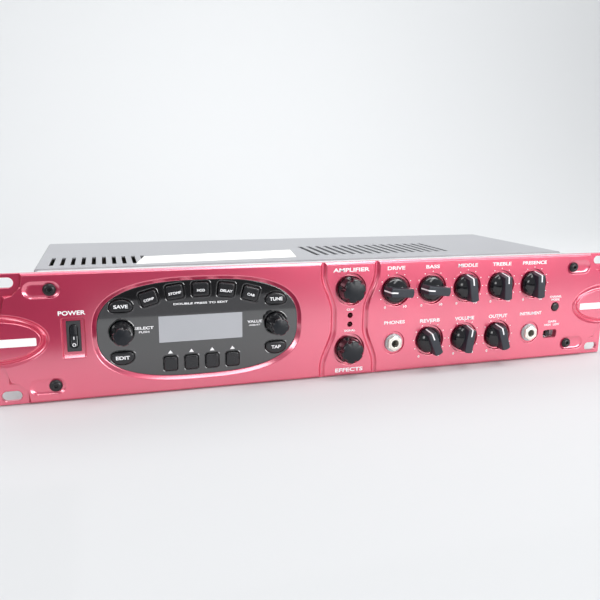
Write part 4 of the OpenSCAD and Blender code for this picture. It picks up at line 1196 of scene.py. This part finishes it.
def rockerMarks():
    # a bar and a ring, for on and off
    bar = roundRect(0.6, 1.9, 0.1, 0, rocker["barZ"])
    bm = bmesh.new()
    loft(bm, [(bar, -2.42), (bar, -1.9)])
    loft(bm, [(circle(r, 0, rocker["ringZ"], 24), y)
              for r, y in ((0.75, -3.03), (1.2, -3.03), (1.2, -2.4), (0.75, -2.4))], looped=True)
    return dressed(objectFrom(bm, "marks"), "printWhite")


def buildRocker():
    whole = joined("power_rocker_crowned", [rockerBar(), rockerMarks()])
    rest = -jointOf["power_rocker"]["range_deg"][1] / 2
    pivot = (panel["switchX"] * mm, rocker["pivot"] * mm, panel["switchZ"] * mm)
    whole.data.transform(Matrix.Translation(pivot) @ Matrix.Rotation(math.radians(rest), 4, "X"))
    assign(whole, "power_rocker", ["power_rocker"])


def buildRoundKey():
    radius = panel["roundKeyRadius"]
    cap = lathed("mode_button_cap", [
        (radius - 1.1, -6.0), (radius - 0.5, -5.93), (radius - 0.15, -5.7), (radius, -5.3), (radius, 1.6),
        (4.5, 1.6), (4.5, 2.8), (1.75, 2.8), (1.75, 7.2)], panel["roundKeyX"], 0, 40)
    fit(cap, "keyBlack", body="mode_button", replaces=["mode_button"])


def buildSlideLever():
    # the slide switch's lever, with three grooves across its front
    low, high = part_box("gain_slider")
    x, z = (low.x + high.x) / 2 / mm, (low.z + high.z) / 2 / mm
    front, back = low.y / mm, high.y / mm
    lever = lofted("lever", [(roundRect(width, 3.9, 0.3, x, z), y) for width, y in (
        (3.2, front), (3.8, front + 0.25), (4.0, front + 0.6), (4.0, back))])
    bm = bmesh.new()
    for i in range(3):
        loft(bm, [(roundRect(width, 5.0, 0.1, x - 1.1 + 1.1 * i, z), front + depth)
                  for width, depth in ((0.5, -0.5), (0.3, 0.45))])
    combine(lever, objectFrom(bm, "grooves"))
    lever.name = "slide_lever"
    fit(lever, "keyBlack", body="gain_slider", replaces=["gain_slider"])


buildSwitchBody()
buildRocker()
buildRoundKey()
buildSlideLever()
print("switches made")

# ---------- case

case = {
    "halfWidth": 216.6, "top": 41.6, "depth": 167.0, "sheet": 1.2, "coverFront": 28.0, "lip": 14.0,
    "bend": 1.8,
    # each row of vents: count, pitch, first x, width, length, first y
    "vents": [(10, 7.25, -206.4, 3.0, 38.0, 39.5), (16, 7.9, -2.0, 3.8, 54.0, 51.0)],
    "sticker": [(-148, 35), (-140, 72), (-16, 86), (-23, 44)],
    "markX": (-204.5, -200.0, -4.5, 0.0), "mark": [(0.0, 19.5), (3.2, 19.5), (3.8, 22), (0.6, 22)],
}


def foldedSection(steps=6):
    # an upside-down channel with round bends, as a closed loop of (x, z)
    half, top, sheet, bend = case["halfWidth"], case["top"], case["sheet"], case["bend"]
    low = top - case["lip"]
    outer, inner = [], []
    for side in (-1, 1):
        turns = [math.radians(90 * i / steps) for i in range(steps + 1)]
        arc = [(math.sin(t), math.cos(t)) for t in turns]
        if side < 0:
            arc = [(-a, b) for a, b in reversed(arc)]
        cx, cz = side * (half - bend), top - bend
        outer += [(cx + bend * a, cz + bend * b) for a, b in arc]
        inner += [(cx + (bend - sheet) * a, cz + (bend - sheet) * b) for a, b in arc]
    outer = [(-half, low)] + outer + [(half, low)]
    inner = [(-half + sheet, low)] + inner + [(half - sheet, low)]
    return outer + inner[::-1]


def buildCover():
    section = foldedSection()
    cover = soften(lofted("cover", [(section, case["coverFront"]), (section, case["depth"])]), 0.2, 60)
    for count, pitch, x, width, length, y in case["vents"]:
        mesh = cover.data
        bpy.data.objects.remove(cover)
        cover = grown(ventRow, mesh, "vented_cover", **{
            "Slots": count, "Pitch": pitch * mm, "Start": (x * mm, (y + length / 2) * mm, case["top"] * mm),
            "Slot Size": (width * mm, length * mm, 8 * mm), "Material": finishes["coverGrey"]})
    assign(shade(cover), home, ["top_cover"])


def layFlat(bm, corners, low, high):
    # a thin plate on the case, from its corners (x, y) and its two heights
    skin(bm, [[bm.verts.new((x * mm, y * mm, z * mm)) for x, y in corners] for z in (low, high)])


def buildSticker():
    bm = bmesh.new()
    layFlat(bm, case["sticker"], case["top"] - 0.02, case["top"] + 0.12)
    fit(objectFrom(bm, "blank_sticker"), "stickerWhite")
    # two pairs of small red marks on the flange; what makes them is not known
    flange = case["top"] - case["sheet"]
    bm = bmesh.new()
    for markX in case["markX"]:
        layFlat(bm, [(markX + x, y) for x, y in case["mark"]], flange - 0.02, flange + 0.05)
    fit(objectFrom(bm, "assembly_marks"), "markRed")


buildCover()
buildSticker()
print("case made")

# ---------- lettering and marks


letters = {"bold": 0.028, "extrude": 0.04, "thickness": 0.0008}


def lettering(bm, text, x, z, width, height, y, turn, mirrored):
    # built-in font, scaled to the given width and height about its middle, facing the front
    curve = bpy.data.curves.new("words", "FONT")
    curve.body = text
    curve.offset = letters["bold"]
    curve.extrude = letters["extrude"]
    words = linked("words", curve)
    graph = bpy.context.evaluated_depsgraph_get()
    mesh = bpy.data.meshes.new_from_object(words.evaluated_get(graph))
    bpy.data.objects.remove(words)
    xs = [v.co.x for v in mesh.vertices]
    ys = [v.co.y for v in mesh.vertices]
    middle = Vector(((min(xs) + max(xs)) / 2, (min(ys) + max(ys)) / 2, 0))
    scale = Matrix.Diagonal((width / (max(xs) - min(xs)) * mm, height / (max(ys) - min(ys)) * mm,
                             letters["thickness"], 1))
    facing = Matrix.Rotation(math.radians(90), 4, "X")
    if mirrored:
        facing = Matrix.Rotation(math.radians(180), 4, "Z") @ facing
    place = Matrix.Translation((x * mm, y * mm, z * mm)) @ Matrix.Rotation(math.radians(turn), 4, "Y")
    mesh.transform(place @ facing @ scale @ Matrix.Translation(-middle))
    bm.from_mesh(mesh)
    bpy.data.meshes.remove(mesh)


def wordsPiece(name, entries, y, body=home, mirrored=False, material="printWhite"):
    bm = bmesh.new()
    for text, x, z, width, height, *turn in entries:
        lettering(bm, text, x, z, width, height, y, turn[0] if turn else 0.0, mirrored)
    mesh = bpy.data.meshes.new(name)
    bmesh.ops.remove_doubles(bm, verts=bm.verts[:], dist=1e-7)
    bm.to_mesh(mesh)
    bm.free()
    fit(linked(name, mesh), material, body=body, angle=0)


def buildLettering():
    top, low = 38.6, -4.3
    entries = [("POWER", -192.2, 16.7, 17.1, 3.0), ("AMPLIFIER", 5.0, 38.2, 29.0, 3.0),
               ("EFFECTS", 5.3, -39.3, 22.5, 3.0), ("CLIP", 5.0, 7.9, 6.0, 1.6),
               ("SIGNAL", 5.0, -8.3, 9.0, 1.6), ("PHONES", 42, low, 17.5, 2.6),
               ("INSTRUMENT", 166, low, 21.0, 2.6)]
    for name in pots:
        x, z = axisOf(name)
        word = name.split("_")[0].upper()
        entries.append((word, x - 0.4, (top if z > 0 else low) - 0.4, 2.8 * len(word) + 0.6, 2.8))
        entries.append(("0", x - 8.7, z - 12.8, 1.5, 2.0))
        entries.append(("10", x + 8.2, z - 12.8, 2.8, 2.0))
    entries += [("CHANNEL", 189.3, 8.7, 11.5, 1.8), ("MODE", 189.3, 6.2, 8.0, 1.8),
                ("GAIN", 188.0, -12.6, 8.0, 1.8), ("HIGH   LOW", 188.0, -15.3, 15.0, 1.8)]
    wordsPiece("panel_lettering", entries, panel["front"] - 0.03)
    lens = [("DOUBLE PRESS TO EDIT", -106.8, 18.6, 38.0, 1.35), ("SELECT", -146.2, 2.9, 13.0, 2.0),
            ("PUSH", -146.2, 0.1, 7.0, 1.4), ("VALUE", -68.2, 2.9, 11.0, 2.0),
            ("ADJUST", -68.2, 0.1, 8.5, 1.4)]
    wordsPiece("lens_lettering", lens, window["front"] - 0.03)
    bm = bmesh.new()
    for i in range(4):
        x = window["x"] + (i - 1.5) * keys["softPitch"]
        z = window["z"] + keys["softZ"] + 7.2
        loft(bm, [([(x - 1.7, z), (x + 1.7, z), (x, z + 2.3)], y)
                  for y in (window["front"] - 0.05, window["front"] + 0.05)])
    fit(objectFrom(bm, "lens_arrows"), "printWhite")


def buildKeyWords():
    y = keys["front"] - 0.02
    words = {"save_button": "SAVE", "edit_button": "EDIT", "tune_button": "TUNE", "tap_button": "TAP",
             "comp_button": "COMP", "stomp_button": "STOMP", "mod_button": "MOD", "delay_button": "DELAY",
             "cab_button": "CAB"}
    for name, word in words.items():
        turn = 0.0
        if name in sideKeys:
            x, z = sidePlace(name, 0.7)
            width, height = 2.35 * len(word), 2.5
        else:
            i = arcKeys.index(name)
            x, z = arcPlace(i)
            z -= 0.8
            width, height, turn = 1.62 * len(word) + 0.6, 1.8, (i - 2) * keys["arcStep"]
        wordsPiece(name + "_word", [(word, x, z, width, height, turn)], y, body=name)


rear = {
    # word: (x, z, width)
    "words": {"MAINS": (-180, -4.4, 13.5), "PORT": (-86, -9.6, 9.5), "PEDAL": (-62, -8.4, 11.5),
              "RIGHT": (-30, -0.9, 11.0), "LEFT": (0, -0.9, 9.0), "BALANCED OUTPUTS": (-15, 6.2, 42.0),
              "IN R": (38, -9.2, 8.6), "IN L": (62, -9.2, 8.2), "OUT R": (86, -9.2, 11.2),
              "OUT L": (110, -9.2, 10.8), "LINE": (74, 6.2, 10.5), "CONTROL IN": (142, -8.4, 18.0),
              "THRU": (168, -8.4, 9.5)},
    "rules": [(-15, 3.4, 56.0, 0.4), (74, 3.4, 86.0, 0.4), (-74, 3.4, 40.0, 0.4), (155, 3.4, 48.0, 0.4)],
    "plate": (-124, -18, 44.0, 20.0),
    "plateLines": (0.8, 0.55, 0.7, 0.45, 0.62),
    "rivets": [(x, z) for z in (34.5, -36.5) for x in (-205, -103, 0, 103, 205)],
}


def buildRear():
    # generic names and rules over the sockets, a plain rating plate, rivets round the wall
    wall = case["depth"]
    wordsPiece("rear_lettering", [(word, x, z, width, 2.3) for word, (x, z, width) in rear["words"].items()],
               wall + 0.03, mirrored=True, material="printBlack")
    bm = bmesh.new()
    for x, z, width, height in rear["rules"]:
        loft(bm, [(roundRect(width, height, 0.1, x, z, 2), y) for y in (wall - 0.05, wall + 0.05)])
    x, z, width, height = rear["plate"]
    for i, share in enumerate(rear["plateLines"]):
        row = share * (width - 6)
        loft(bm, [(roundRect(row, 0.9, 0.1, x + (width - 6 - row) / 2, z + 6.4 - 3.2 * i, 2), y)
                  for y in (wall + 0.05, wall + 0.16)])
    fit(objectFrom(bm, "rear_rules"), "printBlack")
    plate = roundRect(width, height, 1.2, x, z)
    fit(lofted("rating_plate", [(plate, wall - 0.05), (plate, wall + 0.1)]), "stickerWhite")
    rivet = lathed("rivet_master", [(2.3, -0.3), (2.3, 0.15), (2.1, 0.55), (1.5, 0.9), (0.8, 1.05),
                                    (0.3, 0.85)], count=24)
    rivets = repeated(rivet, [(x, wall, z) for x, z in rear["rivets"]], "rear_rivets", "controlMetal")
    assign(rivets, home)


def buildEarBars():
    # plain bars in the ears' ovals
    bm = bmesh.new()
    front = panel["front"]
    for side in (-1, 1):
        bar = roundRect(panel["barWidth"], panel["barHeight"], 0.8, side * panel["barX"], panel["barZ"])
        loft(bm, [(bar, front - 0.06), (bar, front + 0.05)])
    fit(objectFrom(bm, "ear_bars"), "printWhite")


buildLettering()
buildKeyWords()
buildEarBars()
buildRear()
print("lettering and rear marks made")

# ---------- finishes of the CAD pieces that stay

kept = {
    "front_frame": "brightSteel", "chassis_tray": "zincSteel", "cover_screws": "blackSteel",
    "rubber_feet": "footRubber", "lcd_window": "displayFilm", "lcd_module": "displayFrame",
    "display_board": "boardGreen", "control_board": "boardGreen", "main_board": "boardGreen",
    "board_parts": "chipBlack", "power_board": "boardBrown", "transformer": "copperWinding",
    "encoder_bodies": "controlMetal", "pot_bodies": "controlMetal", "control_nuts": "brightNickel",
    "tact_switches": "satinBlack", "indicator_leds": "indicatorRed", "slide_switch_housing": "controlMetal",
    "iec_inlet": "switchBlack", "xlr_outputs": "socketMetal", "rear_jacks": "satinBlack",
    "data_sockets": "satinBlack", "rear_panel": "zincSteel", "ribbon_cables": "ribbonGrey",
    "standoffs": "spacerBrass",
}


def paintKept():
    for node, material in kept.items():
        piece = frame["nodes"][node]
        if not piece.material_slots:
            piece.data.materials.append(finishes[material])
        for materialSlot in piece.material_slots:
            materialSlot.material = finishes[material]


paintKept()
print("carried-over pieces painted:", len(kept))
